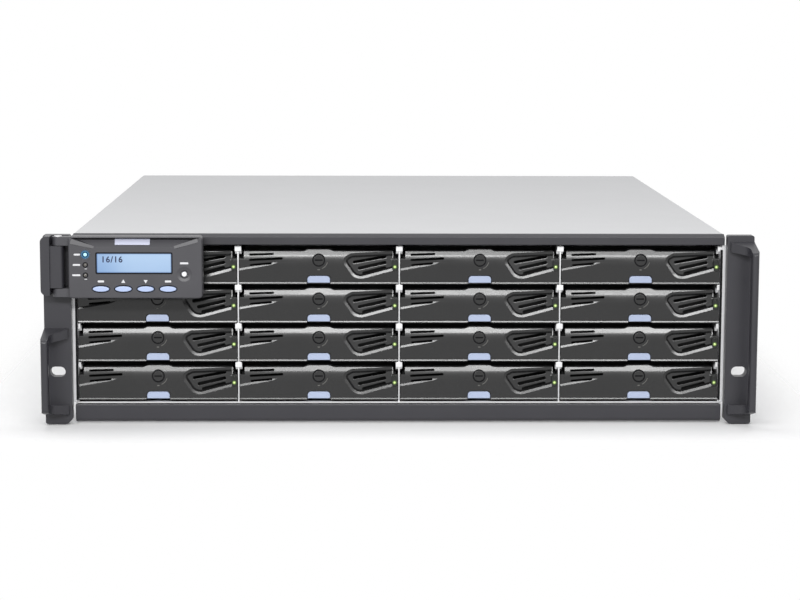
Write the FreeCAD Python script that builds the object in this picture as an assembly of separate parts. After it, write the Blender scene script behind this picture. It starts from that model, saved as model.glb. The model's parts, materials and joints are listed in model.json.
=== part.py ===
import FreeCAD, Part
import math
import os

from FreeCAD import Vector

os.makedirs("parts", exist_ok=True)

# Driving sizes in millimetres. Depths run back from the front face of the ears.

# Rack and case
rack_width = 482.6
rack_slot_inset = 8.75
rack_slot_z = 36.5
rack_slot_long = 10.5
rack_slot_wide = 7.0
case_height = 130.5
case_depth = 500.0
case_set_back = 1.5
sheet = 1.0
bend_radius = 2.0
cover_bend = 3.0
skirt_height = 13.0
flange_lap = 3.4

# Clearances, and how far joined shapes and cutters run into and past a face
move_gap = 0.35
slide_gap = 0.4
pin_gap = 0.05
bite = 0.5
past = 1.0

# Cover screws, placed as shares of the case's depth
screw_r = 1.5
screw_head_r = 3.0
screw_top_r = 2.1
screw_head = 1.4
screw_socket_r = 1.05
screw_socket_deep = 0.8
screw_shares = (0.1, 0.5, 0.88)

# Ears and pull handles
ear_wide = 18.2
ear_thick = 8.0
ear_offset = 0.4
ear_bottom = 0.4
ear_drop = 0.4
ear_chamfer = 3.2
ear_round = 1.5
ear_inner_round = 1.2
handle_reach = 22.0
handle_bar = 4.9
handle_bar_deep = 6.5
handle_arm = 6.6
handle_arm_root = 2.5
handle_arm_in = 16.2
handle_flare = 12.0
handle_slope = 5.5
handle_low = 6.4
handle_top_drop = 4.3
handle_panel_gap = 21.9
handle_round = 2.2
handle_elbow = 4.0
handle_inner_elbow = 3.0
handle_root_round = 9.0

# Front trim bars
trim_front = 5.0
trim_low_z = 12.9
trim_high = 7.5
trim_bevel = 2.0
trim_edge = 0.8
trim_heel = 0.6
trim_wall = 2.2
trim_return = 8.0
trim_gap = 0.3
trim_end_gap = 1.6
trim_seat_gap = 2.0

# Drive bays
columns = 4
rows = 4
first_flap_z = 15.6
row_gap = 3.9
trim_clear = 0.6
partition = 1.0
cage_set_back = 1.5
cage_floor_gap = 1.4
cage_floor_lead = 0.3
runner_thick = 1.2
runner_wide = 2.2
tab_half = 2.2
tab_front = 0.9
tab_nose = 2.7
tab_drop = 0.7
tab_clear = 0.4
tab_round = 0.6
tab_rise = 0.7
tab_top_gap = 0.4
tab_grip = 2.8

# Midplane board
plane_thick = 2.4
plane_side_gap = 1.0
plane_vent_high = 6.0
drive_plug_wide = 42.0
drive_plug_high = 6.0
drive_plug_low = 3.0
module_plug_wide = 48.0
module_plug_high = 12.0
module_plug_low = 14.0
module_socket_deep = 9.0
module_seat_gap = 0.6

# Flaps
flap_gap = 0.9
flap_set_back = 1.0
flap_roll = 7.0
flap_wall = 2.4
crown_high = 6.6
crown_lean = 3.6
crown_round = 12.0
crown_edge = 0.9
flap_lip = 0.8
flap_lip_high = 0.9
flap_lip_round = 0.3
hump_rise = 0.9
hump_wide = 15.0
hump_slope = 3.0
notch_wide = 3.2
notch_high = 5.4
web_thick = 1.6
web_low = 3.0
web_round = 1.5
pivot_r = 1.0
lug_thick = 1.6
lug_r = 2.2
lug_tip_flat = 0.1
lock_r = 4.2
lock_proud = 0.2
lock_lift = 0.4
lock_slot = 1.1
lock_slot_deep = 0.8
lock_slot_inset = 1.0
button_wide = 15.4
button_high = 4.7
button_low = 0.9
button_round = 2.0
button_edge = 0.4
button_gap = 0.3
button_proud = 0.5
button_stem = 1.6
button_stem_rise = 2.0
window_r = 0.9
window_inset = 1.9
window_shares = (0.509, 0.667)

# Flap features as shares of half the flap's width and of its height
scoop_tip = (0.323, 0.675)
scoop_foot = (0.526, 0.158)
scoop_top = (0.418, 0.904)
scoop_brow = 0.96
scoop_right = 0.395
scoop_end = 1.0
scoop_depth = 1.8
scoop_lean = 0.13
scoop_back = 1.4
scoop_ramp = 4.0
scoop_ledge = 1.3
scoop_tip_round = 4.0
scoop_foot_round = 7.0
scoop_corner_round = 0.8
scoop_pan_start = 0.28
crease_edge = 0.404
crease_knee = (-0.597, 0.579)
crease_end = (-0.373, 0.737)
crease_deep = 1.2
crease_round = 20.0
vent_wide = 1.4
vent_widening = (0.0, 0.4, 1.0)
left_vent_start = -0.884
left_vent_ends = (-0.571, -0.457, -0.597)
left_vent_heights = (0.851, 0.702, 0.544)
left_vent_rises = (0.017, 0.044, 0.061)
scoop_vent_end = 0.851
scoop_vent_starts = (0.416, 0.494, 0.550)
scoop_vent_heights = (0.640, 0.456, 0.268)
scoop_vent_rises = (0.167, 0.184, 0.180)

# Trays and drives
tray_gap = 0.6
tray_wall = 2.0
tray_wall_drop = 1.0
tray_wall_lap = 1.2
tray_wall_round = 2.0
tray_vent_start = 8.7
tray_vent_edge = 5.0
tray_vent_foot = 4.0
rail_wide = 3.35
rail_low = 1.6
rail_top_drop = 5.8
drive_row_gap = 1.3
drive_long = 147.0
drive_drop = 0.2
drive_lid = 0.8
lid_inset = 3.0
lid_front = 4.0
lid_back = 18.0
lid_front_round = 9.0
lid_back_round = 30.0
drive_port_inset = 8.0
drive_port_low = 2.0
drive_port_high = 7.5
drive_port_deep = 6.0
drive_socket_gap = 0.5
drive_socket_deep = 5.0

# Swing-out control panel
panel_wide = 89.7
panel_high = 41.8
panel_reach = 14.0
panel_side_gap = 0.6
panel_wall = 2.2
panel_corner = 2.5
panel_edge = 1.2
panel_back_gap = 1.5
panel_back_thick = 2.2
panel_back_inset = 1.0
post_r = 2.0
post_inset = 6.0
post_top_inset = 8.0
hinge_back = 7.0
hinge_offset = 7.5
hinge_pin_r = 1.5
hinge_head_r = 2.55
knuckle_r = 4.0
arm_high = 5.8
arm_inset = 0.6
bracket_wall = 6.2
bracket_lift = 1.2
bracket_front_drop = 1.5
bracket_round = 4.0
bracket_inner_round = 3.0
bracket_edge = 0.5
wedge_depth = 4.5
wedge_flank = 2.8
wedge_high = 7.1
wedge_margin = 1.0
wedge_top_gap = 0.8
wedge_foot_left = 17.8
wedge_foot_right = 19.3
window_wide = 50.6
window_high = 13.6
window_left = 18.7
window_low = 17.1
window_corner = 1.0
glass_gap = 0.15
glass_set_back = 0.7
cell_side = 3.0
cell_below = 2.5
cell_above = 1.5
lamp_x = 11.4
lamp_low = 15.8
lamp_pitch = 6.95
lamp_r = 1.25
lamp_count = 3
lamp_proud = 0.3
key_names = ("key_back", "key_up", "key_down", "key_enter")
key_wide = 10.8
key_high = 3.7
key_left = 21.7
key_pitch = 15.0
key_low = 6.5
key_proud = 0.9
key_travel = 1.0
key_flange = 0.9
key_flange_thick = 1.0
mute_x = 77.6
mute_z = 16.5
mute_r = 1.65
mute_dish_r = 5.1
mute_dish_floor_r = 3.2
mute_dish_deep = 1.2
mute_proud = 0.3
board_thick = 1.6
board_spare = 1.45
board_inset = 3.0
board_top_inset = 5.0

# Controllers
face_thick = 2.0
jack_wide = 11.8
jack_high = 9.0
jack_deep = 13.0
jack_pitch = 16.0
jack_low = 12.0
jack_wall = 1.6
network_jacks = 4
network_left = -62.0
manage_left = 22.0
lever_long = 36.0
lever_high = 9.0
lever_reach = 14.0
lever_thick = 3.0
lever_root = 7.0
lever_inset = 6.0
lever_elbow = 4.0
lever_inner_elbow = 3.0
lever_tip_round = 1.4
rear_vents = 9
rear_vent_pitch = 18.0
rear_vent_wide = 13.0
rear_vent_high = 4.0
rear_vent_drop = 14.0
board_end_gap = 2.0
sink_start = 88.0
sink_long = 74.0
sink_wide = 75.0
sink_base = 6.0
sink_high = 34.0
sink_fins = 9
fin_thick = 3.0
fin_inset = 2.0

# Power and cooling modules
power_wide = 106.3
supply_high = 44.0
supply_drop = 8.0
supply_front_gap = 4.0
supply_rear_gap = 30.0
fan_margin = 1.85
fan_lift = 1.0
fan_tip_gap = 1.5
fan_ring = 2.5
fan_deep = 25.0
fan_hub_r = 14.0
fan_blades = 7
fan_blade_thick = 1.8
fan_chord_share = 0.9
fan_pitch = 38.0
fan_shaft_r = 2.0
fan_back_gap = 3.0
spider_wide = 5.0
spider_thick = 3.0
guard_slots = 7
guard_bar_share = 0.25
inlet_x = -28.0
inlet_z_low = 20.0
inlet_wide = 24.0
inlet_high = 16.5
inlet_deep = 16.0
inlet_wall = 2.0
inlet_proud = 1.5
inlet_low_round = 1.0
inlet_top_round = 5.0
blade_wide = 4.0
blade_thick = 2.0
blade_spread = 7.0
blade_drop = 2.0
blade_lift = 2.5
blade_short = 3.0
switch_x = 4.0
switch_wide = 13.0
switch_high = 19.0
switch_tilt = 8.0
switch_well = 12.0
switch_wall = 1.5
switch_proud = 1.0
switch_pivot_back = 5.0
switch_tip = 5.0
switch_dip = 1.0
switch_tail = 3.5
switch_tail_share = 0.6
switch_edge = 0.6
trunnion_r = 1.2
pull_wide = 62.0
pull_reach = 26.0
pull_bar = 7.0
pull_elbow = 7.0
pull_inner_elbow = 4.0

# Sizes that follow from the above
rack_half = rack_width / 2
rack_slot_x = rack_half - rack_slot_inset
ear_inner = rack_half - ear_wide
cover_half = ear_inner - ear_offset
tub_out = cover_half - sheet
tub_in = tub_out - sheet
half_bays = tub_in - partition / 2
bay_pitch_x = 2 * half_bays / columns
bay_pitch_z = (case_height - trim_high - trim_clear - first_flap_z) / rows
ear_top = case_height - ear_drop
case_front = ear_thick + case_set_back
case_rear = ear_thick + case_depth
rear_reach = case_rear + pull_reach
mid_depth = (rear_reach - handle_reach) / 2
screw_z = case_height - skirt_height / 2

flap_height = bay_pitch_z - row_gap
flap_face = ear_thick + flap_set_back
flap_half = bay_pitch_x / 2 - flap_gap
flap_inner = flap_half - notch_wide
axis_z = flap_height - flap_roll
crown_z = flap_height - crown_high
lock_z = axis_z + lock_lift
tray_half = bay_pitch_x / 2 - partition / 2 - slide_gap
tray_face = 2 * flap_roll + tray_gap
drive_wide = 2 * (tray_half - rail_wide)
drive_high = bay_pitch_z - drive_row_gap
drive_face = tray_face + tray_wall
drive_back = drive_face + drive_long
rail_high = flap_height - rail_top_drop
cage_front = flap_face + cage_set_back
cage_floor = first_flap_z - cage_floor_gap
cage_top = first_flap_z + rows * bay_pitch_z
plane_front = flap_face + drive_back + drive_socket_gap + drive_socket_deep
plane_back = plane_front + plane_thick
tab_low = flap_height - tab_grip
tab_high = bay_pitch_z - tab_top_gap
trim_half = ear_inner - trim_end_gap
trim_top_z = case_height - trim_high
trim_back = case_front - trim_gap

panel_left = -ear_inner + panel_side_gap
panel_right = panel_left + panel_wide
panel_bottom = case_height - panel_high
panel_face = -panel_reach
panel_inner = panel_face + panel_wall
panel_rim = -panel_back_gap
handle_high_right = case_height - handle_top_drop
handle_high_left = panel_bottom - handle_panel_gap
pin_x = panel_left - hinge_offset
pin_y = -hinge_back
arm_top = case_height - arm_inset
arm_bottom = panel_bottom + arm_inset
key_seat = panel_inner + move_gap
board_front = key_seat + key_flange_thick + key_travel + board_spare

module_front = plane_back + module_socket_deep + module_seat_gap
divider_out = tub_in - 2 * slide_gap - power_wide
divider_in = divider_out - sheet
controller_half = divider_in - slide_gap
power_x = (tub_in + divider_out) / 2
bay_low = sheet + slide_gap
bay_high = case_height - sheet - slide_gap
shelf_low = (case_height - sheet) / 2
controller_high = shelf_low - slide_gap - bay_low
upper_shift = shelf_low + sheet + slide_gap - bay_low
fan_room = bay_high - bay_low - supply_high
fan_r = fan_room / 2 - fan_margin - fan_tip_gap - fan_ring
fan_z = bay_low + supply_high + fan_room / 2 + fan_lift
fan_front = case_rear - face_thick - fan_deep
rotor_back = case_rear - face_thick - fan_back_gap
shaft_end = rotor_back - fan_back_gap
inlet_z = bay_low + inlet_z_low
pull_z = bay_low + supply_high
switch_pivot = case_rear - switch_pivot_back


def box(x0, x1, y0, y1, z0, z1):
    """Block between two values on each axis."""
    return Part.makeBox(x1 - x0, y1 - y0, z1 - z0, Vector(x0, y0, z0))


def rod(radius, start, end):
    """Round bar between two points."""
    line = end.sub(start)
    return Part.makeCylinder(radius, line.Length, start, line)


def outline(corners, place):
    """Wire from (u, v, radius) corners, each rounded with its own radius."""
    ends = []
    for i, (u, v, radius) in enumerate(corners):
        here = Vector(u, v, 0)
        before = Vector(*corners[i - 1][:2], 0).sub(here).normalize()
        after = Vector(*corners[(i + 1) % len(corners)][:2], 0).sub(here).normalize()
        if radius == 0:
            ends.append((here, None, here))
            continue
        half = before.getAngle(after) / 2
        reach = radius / math.tan(half)
        middle = before.add(after).normalize() * (radius / math.sin(half) - radius)
        ends.append((here + before * reach, here + middle, here + after * reach))
    edges = []
    for i, (start, middle, end) in enumerate(ends):
        if middle:
            edges.append(Part.Arc(place(start), place(middle), place(end)).toShape())
        following = ends[(i + 1) % len(ends)][0]
        if end.distanceToPoint(following) > 1e-4:
            edges.append(Part.makeLine(place(end), place(following)))
    return Part.Wire(edges)


def front(corners, y0, y1):
    """Outline seen from the front (x, z), pushed from depth y0 to y1."""
    face = Part.Face(outline(corners, lambda p: Vector(p.x, y0, p.y)))
    return face.extrude(Vector(0, y1 - y0, 0))


def side(corners, x0, x1):
    """Outline seen from the side (depth, z), pushed from x0 to x1."""
    face = Part.Face(outline(corners, lambda p: Vector(x0, p.x, p.y)))
    return face.extrude(Vector(x1 - x0, 0, 0))


def plan(corners, z0, z1):
    """Outline seen from above (x, depth), pushed from z0 to z1."""
    face = Part.Face(outline(corners, lambda p: Vector(p.x, p.y, z0)))
    return face.extrude(Vector(0, 0, z1 - z0))


def rounded(x0, x1, z0, z1, radius):
    """Corners of a rectangle in the front view with equal rounds."""
    return [(x0, z0, radius), (x1, z0, radius), (x1, z1, radius), (x0, z1, radius)]


def stadium(x, z, wide, high):
    """Corners of an oval slot centred on a point."""
    return rounded(x - wide / 2, x + wide / 2, z - high / 2, z + high / 2, min(wide, high) / 2)


def fuse(shapes):
    """One clean solid from touching or crossing shapes."""
    return shapes[0].multiFuse(shapes[1:]).removeSplitter()


def cut(shape, cutters):
    """A solid with every cutter taken out of it."""
    return shape.cut(Part.Compound(cutters))


def flip(shape):
    """Mirror image across the middle plane."""
    return shape.mirror(Vector(0, 0, 0), Vector(1, 0, 0))


def at(shape, x=0, y=0, z=0):
    """Copy of a shape moved by the given amounts."""
    copy = shape.copy()
    copy.translate(Vector(x, y, z))
    return copy


def save(name, shape):
    """Write one piece with the origin under the middle of the whole object."""
    at(shape, y=-mid_depth).exportStep("parts/%s.step" % name)


# Case

def screw_depths():
    """Depth of each cover screw behind the ears' front face."""
    return [case_front + case_depth * share for share in screw_shares]


def screw_holes():
    """Cross holes for the cover screws on both sides."""
    reach = cover_half + past
    return [rod(screw_r + pin_gap, Vector(-reach, y, screw_z), Vector(reach, y, screw_z))
            for y in screw_depths()]


def chassis_tub():
    """Sheet tub with its front flanges, the rear bay dividers and the shelf between the controllers."""
    wall_top = case_height - cover_bend
    tub = front([(-tub_out, 0, bend_radius), (tub_out, 0, bend_radius), (tub_out, wall_top, 0),
                 (tub_in, wall_top, 0), (tub_in, sheet, bend_radius - sheet),
                 (-tub_in, sheet, bend_radius - sheet), (-tub_in, wall_top, 0), (-tub_out, wall_top, 0)],
                case_front, case_rear)
    tub = cut(tub, screw_holes())
    lap_end = ear_inner + flange_lap
    lap_back = ear_thick + sheet
    root = case_front + past
    lap = plan([(tub_in, ear_thick, 0), (lap_end, ear_thick, 0), (lap_end, lap_back, 0),
                (tub_out, lap_back, 0), (tub_out, root, 0), (tub_in, root, 0)],
               cage_floor, trim_top_z - trim_gap)
    divider = box(divider_in, divider_out, plane_back, case_rear, sheet, case_height - sheet)
    shelf = box(-divider_in, divider_in, plane_back, case_rear, shelf_low, shelf_low + sheet)
    return fuse([tub, lap, flip(lap), divider, flip(divider), shelf])


def top_cover():
    """Folded sheet lid with a skirt down each side."""
    low = case_height - skirt_height
    inner_top = case_height - sheet
    cover = front([(-cover_half, low, 0), (-cover_half, case_height, cover_bend),
                   (cover_half, case_height, cover_bend), (cover_half, low, 0), (tub_out, low, 0),
                   (tub_out, inner_top, cover_bend - sheet), (-tub_out, inner_top, cover_bend - sheet),
                   (-tub_out, low, 0)], case_front, case_rear)
    return cut(cover, screw_holes())


def cover_screws():
    """Low-head screws through the skirts into the tub's walls."""
    screws = []
    for y in screw_depths():
        seat = Vector(cover_half, y, screw_z)
        tip = seat + Vector(screw_head, 0, 0)
        head = Part.makeCone(screw_head_r, screw_top_r, screw_head, seat, Vector(1, 0, 0))
        shank = rod(screw_r, Vector(tub_in, y, screw_z), seat)
        socket = rod(screw_socket_r, tip - Vector(screw_socket_deep, 0, 0), tip + Vector(past, 0, 0))
        screw = head.fuse(shank).cut(socket)
        screws += [screw, flip(screw)]
    return Part.Compound(screws)


def trim_bar(low, high, bevel_top):
    """Front bar with a return flange that seats inside the case."""
    bevelled, plain = (high, low) if bevel_top else (low, high)
    seat_z = case_height - sheet if bevel_top else sheet
    inward = -1 if bevel_top else 1
    bar = side([(trim_front, plain, trim_heel), (trim_front, bevelled + inward * trim_bevel, trim_edge),
                (trim_front + trim_bevel, bevelled, trim_edge), (trim_back, bevelled, 0),
                (trim_back, plain, 0)], -trim_half, trim_half)
    lip_end = trim_back + trim_return
    lip_z = seat_z + inward * trim_wall
    lip_half = tub_in - trim_seat_gap
    lip = side([(trim_back - past, seat_z, 0), (lip_end, seat_z, 0), (lip_end, lip_z, 0),
                (trim_back - past, lip_z, 0)], -lip_half, lip_half)
    return fuse([bar, lip])


# Ears with pull handles

def ear(handle_high):
    """Right-hand ear: plate with its rack slot, and a pull handle along the outer edge."""
    plate = front([(ear_inner + ear_chamfer, ear_bottom, ear_inner_round), (rack_half, ear_bottom, ear_round),
                   (rack_half, ear_top, ear_round), (ear_inner, ear_top, ear_inner_round),
                   (ear_inner, ear_bottom + ear_chamfer, ear_inner_round)], 0, ear_thick)
    slot = front(stadium(rack_slot_x, rack_slot_z, rack_slot_long, rack_slot_wide), -past, ear_thick + past)
    bar_back = handle_bar_deep - handle_reach
    inside = rack_half - handle_bar
    top_arm = handle_high - handle_arm
    low_arm = handle_low + handle_arm
    loop = side([(past, handle_low, 0), (-handle_reach, handle_low + handle_slope, handle_elbow),
                 (-handle_reach, handle_high - handle_slope, handle_elbow), (past, handle_high, 0),
                 (past, top_arm, 0), (bar_back, top_arm - handle_slope / 2, handle_inner_elbow),
                 (bar_back, low_arm + handle_slope / 2, handle_inner_elbow), (past, low_arm, 0)],
                ear_inner, rack_half)
    root = rack_half - handle_arm_in
    sweep = plan([(root, past, 0), (rack_half, past, 0), (rack_half, -handle_reach, handle_round),
                  (inside, -handle_reach, handle_round), (inside, -handle_flare, handle_root_round),
                  (root, -handle_arm_root, 0)], 0, case_height)
    return fuse([plate, loop.common(sweep)]).cut(slot)


# Drive cage and midplane

def bay_x(column):
    """Middle of a column of bays."""
    return (column - (columns - 1) / 2) * bay_pitch_x


def bay_z(row):
    """Lower edge of a flap; row 0 is the top row."""
    return first_flap_z + (rows - 1 - row) * bay_pitch_z


def catch_tab(x0, x1):
    """Hooked tab at a partition's front edge, between two rows, with a lip that hangs in the flap's notch."""
    nose = flap_height + tab_rise
    hook = flap_roll + tab_clear
    tip = flap_height - tab_drop
    return side([(tab_front, tip, tab_round), (tab_front, tab_high, tab_round), (2 * flap_roll, tab_high, 0),
                 (2 * flap_roll, tab_low, 0), (hook, tab_low, 0), (hook, nose, 0), (tab_nose, nose, 0),
                 (tab_nose, tip, 0)], x0, x1)


def drive_cage():
    """Floor, partitions, runners under each tray's rails and the hooked catch tabs."""
    pieces = [box(-tub_in, tub_in, case_front - cage_floor_lead, plane_front, cage_floor - sheet, cage_floor)]
    half_sheet = partition / 2
    for line in range(columns + 1):
        x = -half_bays + line * bay_pitch_x
        pieces.append(box(x - half_sheet, x + half_sheet, cage_front, plane_front, cage_floor - bite,
                          cage_top))
        runner_reach = runner_wide + slide_gap
        left = x - runner_reach if line else x
        right = x + runner_reach if line < columns else x
        tab_left = x - tab_half if line else x - half_sheet
        tab_right = x + tab_half if line < columns else x + half_sheet
        for row in range(rows):
            z = bay_z(row)
            pieces.append(box(left, right, flap_face + tray_face, plane_front, z, z + runner_thick))
            pieces.append(at(catch_tab(tab_left, tab_right), y=flap_face, z=z))
    return fuse(pieces)


def midplane_board():
    """Board with a plug for each drive in front, one for each module behind, and air slots."""
    half = tub_in - plane_side_gap
    pieces = [box(-half, half, plane_front, plane_back, cage_floor, cage_top)]
    vents = []
    plug_half = drive_plug_wide / 2
    for column in range(columns):
        for row in range(rows):
            x, z = bay_x(column), bay_z(row)
            low = z + drive_plug_low
            pieces.append(box(x - plug_half, x + plug_half, plane_front - drive_socket_deep, plane_front,
                              low, low + drive_plug_high))
            vent_low = low + 2 * drive_plug_high - past
            vents.append(box(x - flap_half * 2 / 3, x + flap_half * 2 / 3, plane_front - past,
                             plane_back + past, vent_low, vent_low + plane_vent_high))
    plug_half = module_plug_wide / 2
    for x, z in [(0, bay_low), (0, bay_low + upper_shift), (power_x, bay_low), (-power_x, bay_low)]:
        low = z + module_plug_low
        pieces.append(box(x - plug_half, x + plug_half, plane_back, plane_back + module_socket_deep,
                          low, low + module_plug_high))
    return cut(fuse(pieces), vents)


# Drive trays; local depth 0 is the flap's face and local z 0 its lower edge

def tray_frame():
    """Front wall with air openings, side rails, and lugs that carry the flap's pivots."""
    half = drive_wide / 2
    wall_half = half + tray_wall_lap
    wall_top = flap_height - tray_wall_drop
    wall = front([(-wall_half, rail_low, 0), (wall_half, rail_low, 0), (wall_half, wall_top, tray_wall_round),
                  (-wall_half, wall_top, tray_wall_round)], tray_face, drive_face)
    vent = box(tray_vent_start, half - tray_vent_edge, tray_face - past, drive_face + past,
               rail_low + tray_vent_foot, rail_high + past)
    rail = box(half, tray_half, tray_face, drive_back, rail_low, rail_high)
    lug_in = flap_inner + move_gap
    tip = flap_roll - lug_r
    tip_round = lug_r - lug_tip_flat
    root = tray_face + past
    lug = side([(tip, axis_z - lug_r, tip_round), (root, axis_z - lug_r, 0), (root, axis_z + lug_r, 0),
                (tip, axis_z + lug_r, tip_round)], lug_in, lug_in + lug_thick)
    eye = rod(pivot_r + pin_gap, Vector(lug_in - past, flap_roll, axis_z),
              Vector(lug_in + lug_thick + past, flap_roll, axis_z))
    lug = lug.cut(eye)
    return cut(fuse([wall, rail, flip(rail), lug, flip(lug)]), [vent, flip(vent)])


def drive():
    """Hard drive: cast block with a raised lid and a socket at the back."""
    half = drive_wide / 2
    top = drive_high - drive_drop
    body = box(-half, half, drive_face, drive_back, -drive_drop, top - drive_lid)
    lid_half = half - lid_inset
    lid = plan([(-lid_half, drive_face + lid_front, lid_front_round),
                (lid_half, drive_face + lid_front, lid_front_round),
                (lid_half, drive_back - lid_back, lid_back_round),
                (-lid_half, drive_back - lid_back, lid_back_round)], top - drive_lid, top)
    port_half = half - drive_port_inset
    port = box(-port_half, port_half, drive_back - drive_port_deep, drive_back + past, drive_port_low,
               drive_port_low + drive_port_high)
    return fuse([body, lid]).cut(port)


def across(share):
    """Place across a flap from its middle, as a share of half its width."""
    return share * flap_half


def up(share):
    """Place up a flap from its lower edge, as a share of its height."""
    return share * flap_height


def vent_bar(start, end, height, rise, wide):
    """Sloping vent slot; start and end are shares across, height and rise shares up."""
    half = wide / 2
    low, high = up(height), up(height + rise)
    left, right = across(start), across(end)
    return front([(left, low - half, 0), (right, high - half, 0), (right, high + half, 0),
                  (left, low + half, 0)], -past, flap_roll + 2 * past)


def vent_bars():
    """Three slots on the left of the flap and three in its scoop."""
    bars = []
    for end, height, rise in zip(left_vent_ends, left_vent_heights, left_vent_rises):
        bars.append(vent_bar(left_vent_start, end, height, rise, vent_wide))
    scoop = zip(scoop_vent_starts, scoop_vent_heights, scoop_vent_rises, vent_widening)
    for start, height, rise, extra in scoop:
        bars.append(vent_bar(start, scoop_vent_end, height, rise, vent_wide + extra))
    return bars


def scoop_floor(z):
    """Depth of the scoop's floor at a height: it leans back with the flap's crown."""
    return scoop_depth + scoop_lean * z


def scoop_outline(share):
    """Outline of the finger scoop part way in: its lower left runs in as a ramp, its foot as a ledge."""
    ramp = scoop_ramp * share
    ledge = scoop_ledge * share
    right = flap_inner - scoop_end
    corners = [(across(scoop_tip[0]) + ramp, up(scoop_tip[1]), scoop_tip_round),
               (across(scoop_foot[0]) + ramp / 2, up(scoop_foot[1]) + ledge, scoop_foot_round),
               (right, up(scoop_right) + ledge, scoop_corner_round), (right, up(scoop_brow), 0),
               (across(scoop_top[0]) + ramp / 2, up(scoop_top[1]), 0)]
    return outline(corners, lambda p: Vector(p.x, scoop_floor(p.y) * share, p.y))


def scoop_cut():
    """Finger scoop right of the middle: a swept wing shape with sloping sides."""
    return Part.makeLoft([scoop_outline(-bite), scoop_outline(1)], True, True)


def crease_cut():
    """Shallow fall-away on the left that carries on the neighbour's scoop and fades out."""
    reach = flap_half + past
    fade = across(crease_end[0])
    slope = plan([(-reach, -past, 0), (fade, -past, 0), (fade, 0, 0), (-reach, crease_deep, 0)],
                 0, flap_height + past)
    head = flap_height + past
    above = front([(-reach, up(crease_edge), 0), (across(crease_knee[0]), up(crease_knee[1]), crease_round),
                   (fade, up(crease_end[1]), 0), (fade, head, 0), (-reach, head, 0)], -past, flap_wall)
    return slope.common(above)


def flap_hump():
    """Low swelling on the middle of the crown, under the button of the tray above."""
    foot_y, foot_z = crown_lean / 2, flap_height - crown_high / 2
    inner_top = flap_height - flap_wall
    top = flap_height + hump_rise
    swell = side([(foot_y, foot_z, 0), (crown_lean, top, crown_edge), (flap_roll, top, 0),
                  (flap_roll, inner_top, 0), (crown_lean + flap_wall / 2, inner_top, 0)],
                 -hump_wide, hump_wide)
    top_half = hump_wide / 2
    foot_half = top_half + hump_slope
    body = front([(-foot_half, foot_z, 0), (foot_half, foot_z, 0), (top_half, top, 0), (-top_half, top, 0)],
                 0, flap_roll)
    return swell.common(body)


def flap_shell():
    """Crowned front shell with scoop, vents, notches for the catch tabs, pivot webs and the turn lock."""
    inner_top = flap_height - flap_wall
    inner_lean = crown_lean + flap_wall / 2
    shell = side([(-flap_lip, 0, 0), (-flap_lip, flap_lip_high, flap_lip_round),
                  (0, flap_lip_high + flap_lip, flap_lip_round), (0, crown_z, crown_round),
                  (crown_lean, flap_height, crown_edge), (flap_roll, flap_height, 0),
                  (flap_roll, inner_top, 0), (inner_lean, inner_top, 0), (flap_wall, crown_z - bite, 0),
                  (flap_wall, 0, 0)], -flap_half, flap_half)
    pan_front = flap_wall - bite
    pan = side([(pan_front, flap_wall, 0), (scoop_floor(flap_wall) + scoop_back, flap_wall + past, 0),
                (scoop_floor(inner_top) + scoop_back, inner_top + bite, 0),
                (crown_lean + bite, inner_top + bite, 0), (pan_front, crown_z, 0)],
               across(scoop_pan_start), flap_inner)
    web_front = flap_wall / 2
    web_back = flap_roll + lug_r
    web_top = flap_height - past
    web = side([(web_front, web_low, 0), (web_front, web_top, flap_roll - web_front), (flap_roll, web_top, 0),
                (web_back, axis_z + past, 0), (web_back, axis_z - lug_r, web_round),
                (flap_wall + web_round, web_low, 0)], flap_inner - web_thick, flap_inner)
    pin = rod(pivot_r, Vector(flap_inner - bite, flap_roll, axis_z),
              Vector(flap_inner + move_gap + lug_thick, flap_roll, axis_z))
    notch = box(flap_inner, flap_half + past, -past, 2 * flap_roll, flap_height - notch_high,
                flap_height + past)
    lock = rod(lock_r, Vector(0, -lock_proud, lock_z), Vector(0, flap_roll - past, lock_z))
    button_half = button_wide / 2 + button_gap
    button_top = button_low + button_high + button_gap
    pocket = front([(-button_half, -past, 0), (button_half, -past, 0),
                    (button_half, button_top, button_round), (-button_half, button_top, button_round)],
                   -2 * past, flap_wall + past)
    lights = [rod(window_r, Vector(flap_half - window_inset, -past, up(share)),
                  Vector(flap_half - window_inset, flap_wall + past, up(share))) for share in window_shares]
    shell = fuse([shell, pan, flap_hump(), web, flip(web)])
    shell = cut(shell, [scoop_cut(), crease_cut()])
    shell = cut(shell, vent_bars() + [pocket, notch, flip(notch)] + lights)
    slot_half = lock_r - lock_slot_inset
    slot = box(-slot_half, slot_half, -past, lock_slot_deep - lock_proud, lock_z - lock_slot / 2,
               lock_z + lock_slot / 2)
    return fuse([shell, pin, flip(pin), lock]).cut(slot)


def release_button():
    """Button cap flush in the flap's lower edge, with a wider stem behind it."""
    half = button_wide / 2
    top = button_low + button_high
    cap = front([(-half, button_low, button_edge), (half, button_low, button_edge), (half, top, button_round),
                 (-half, top, button_round)], -button_proud, flap_wall)
    stem = box(-half + past, half - past, flap_wall, flap_wall + button_stem, button_low + bite,
               top + button_stem_rise)
    return fuse([cap, stem])


# Swing-out control panel on the left ear

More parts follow.
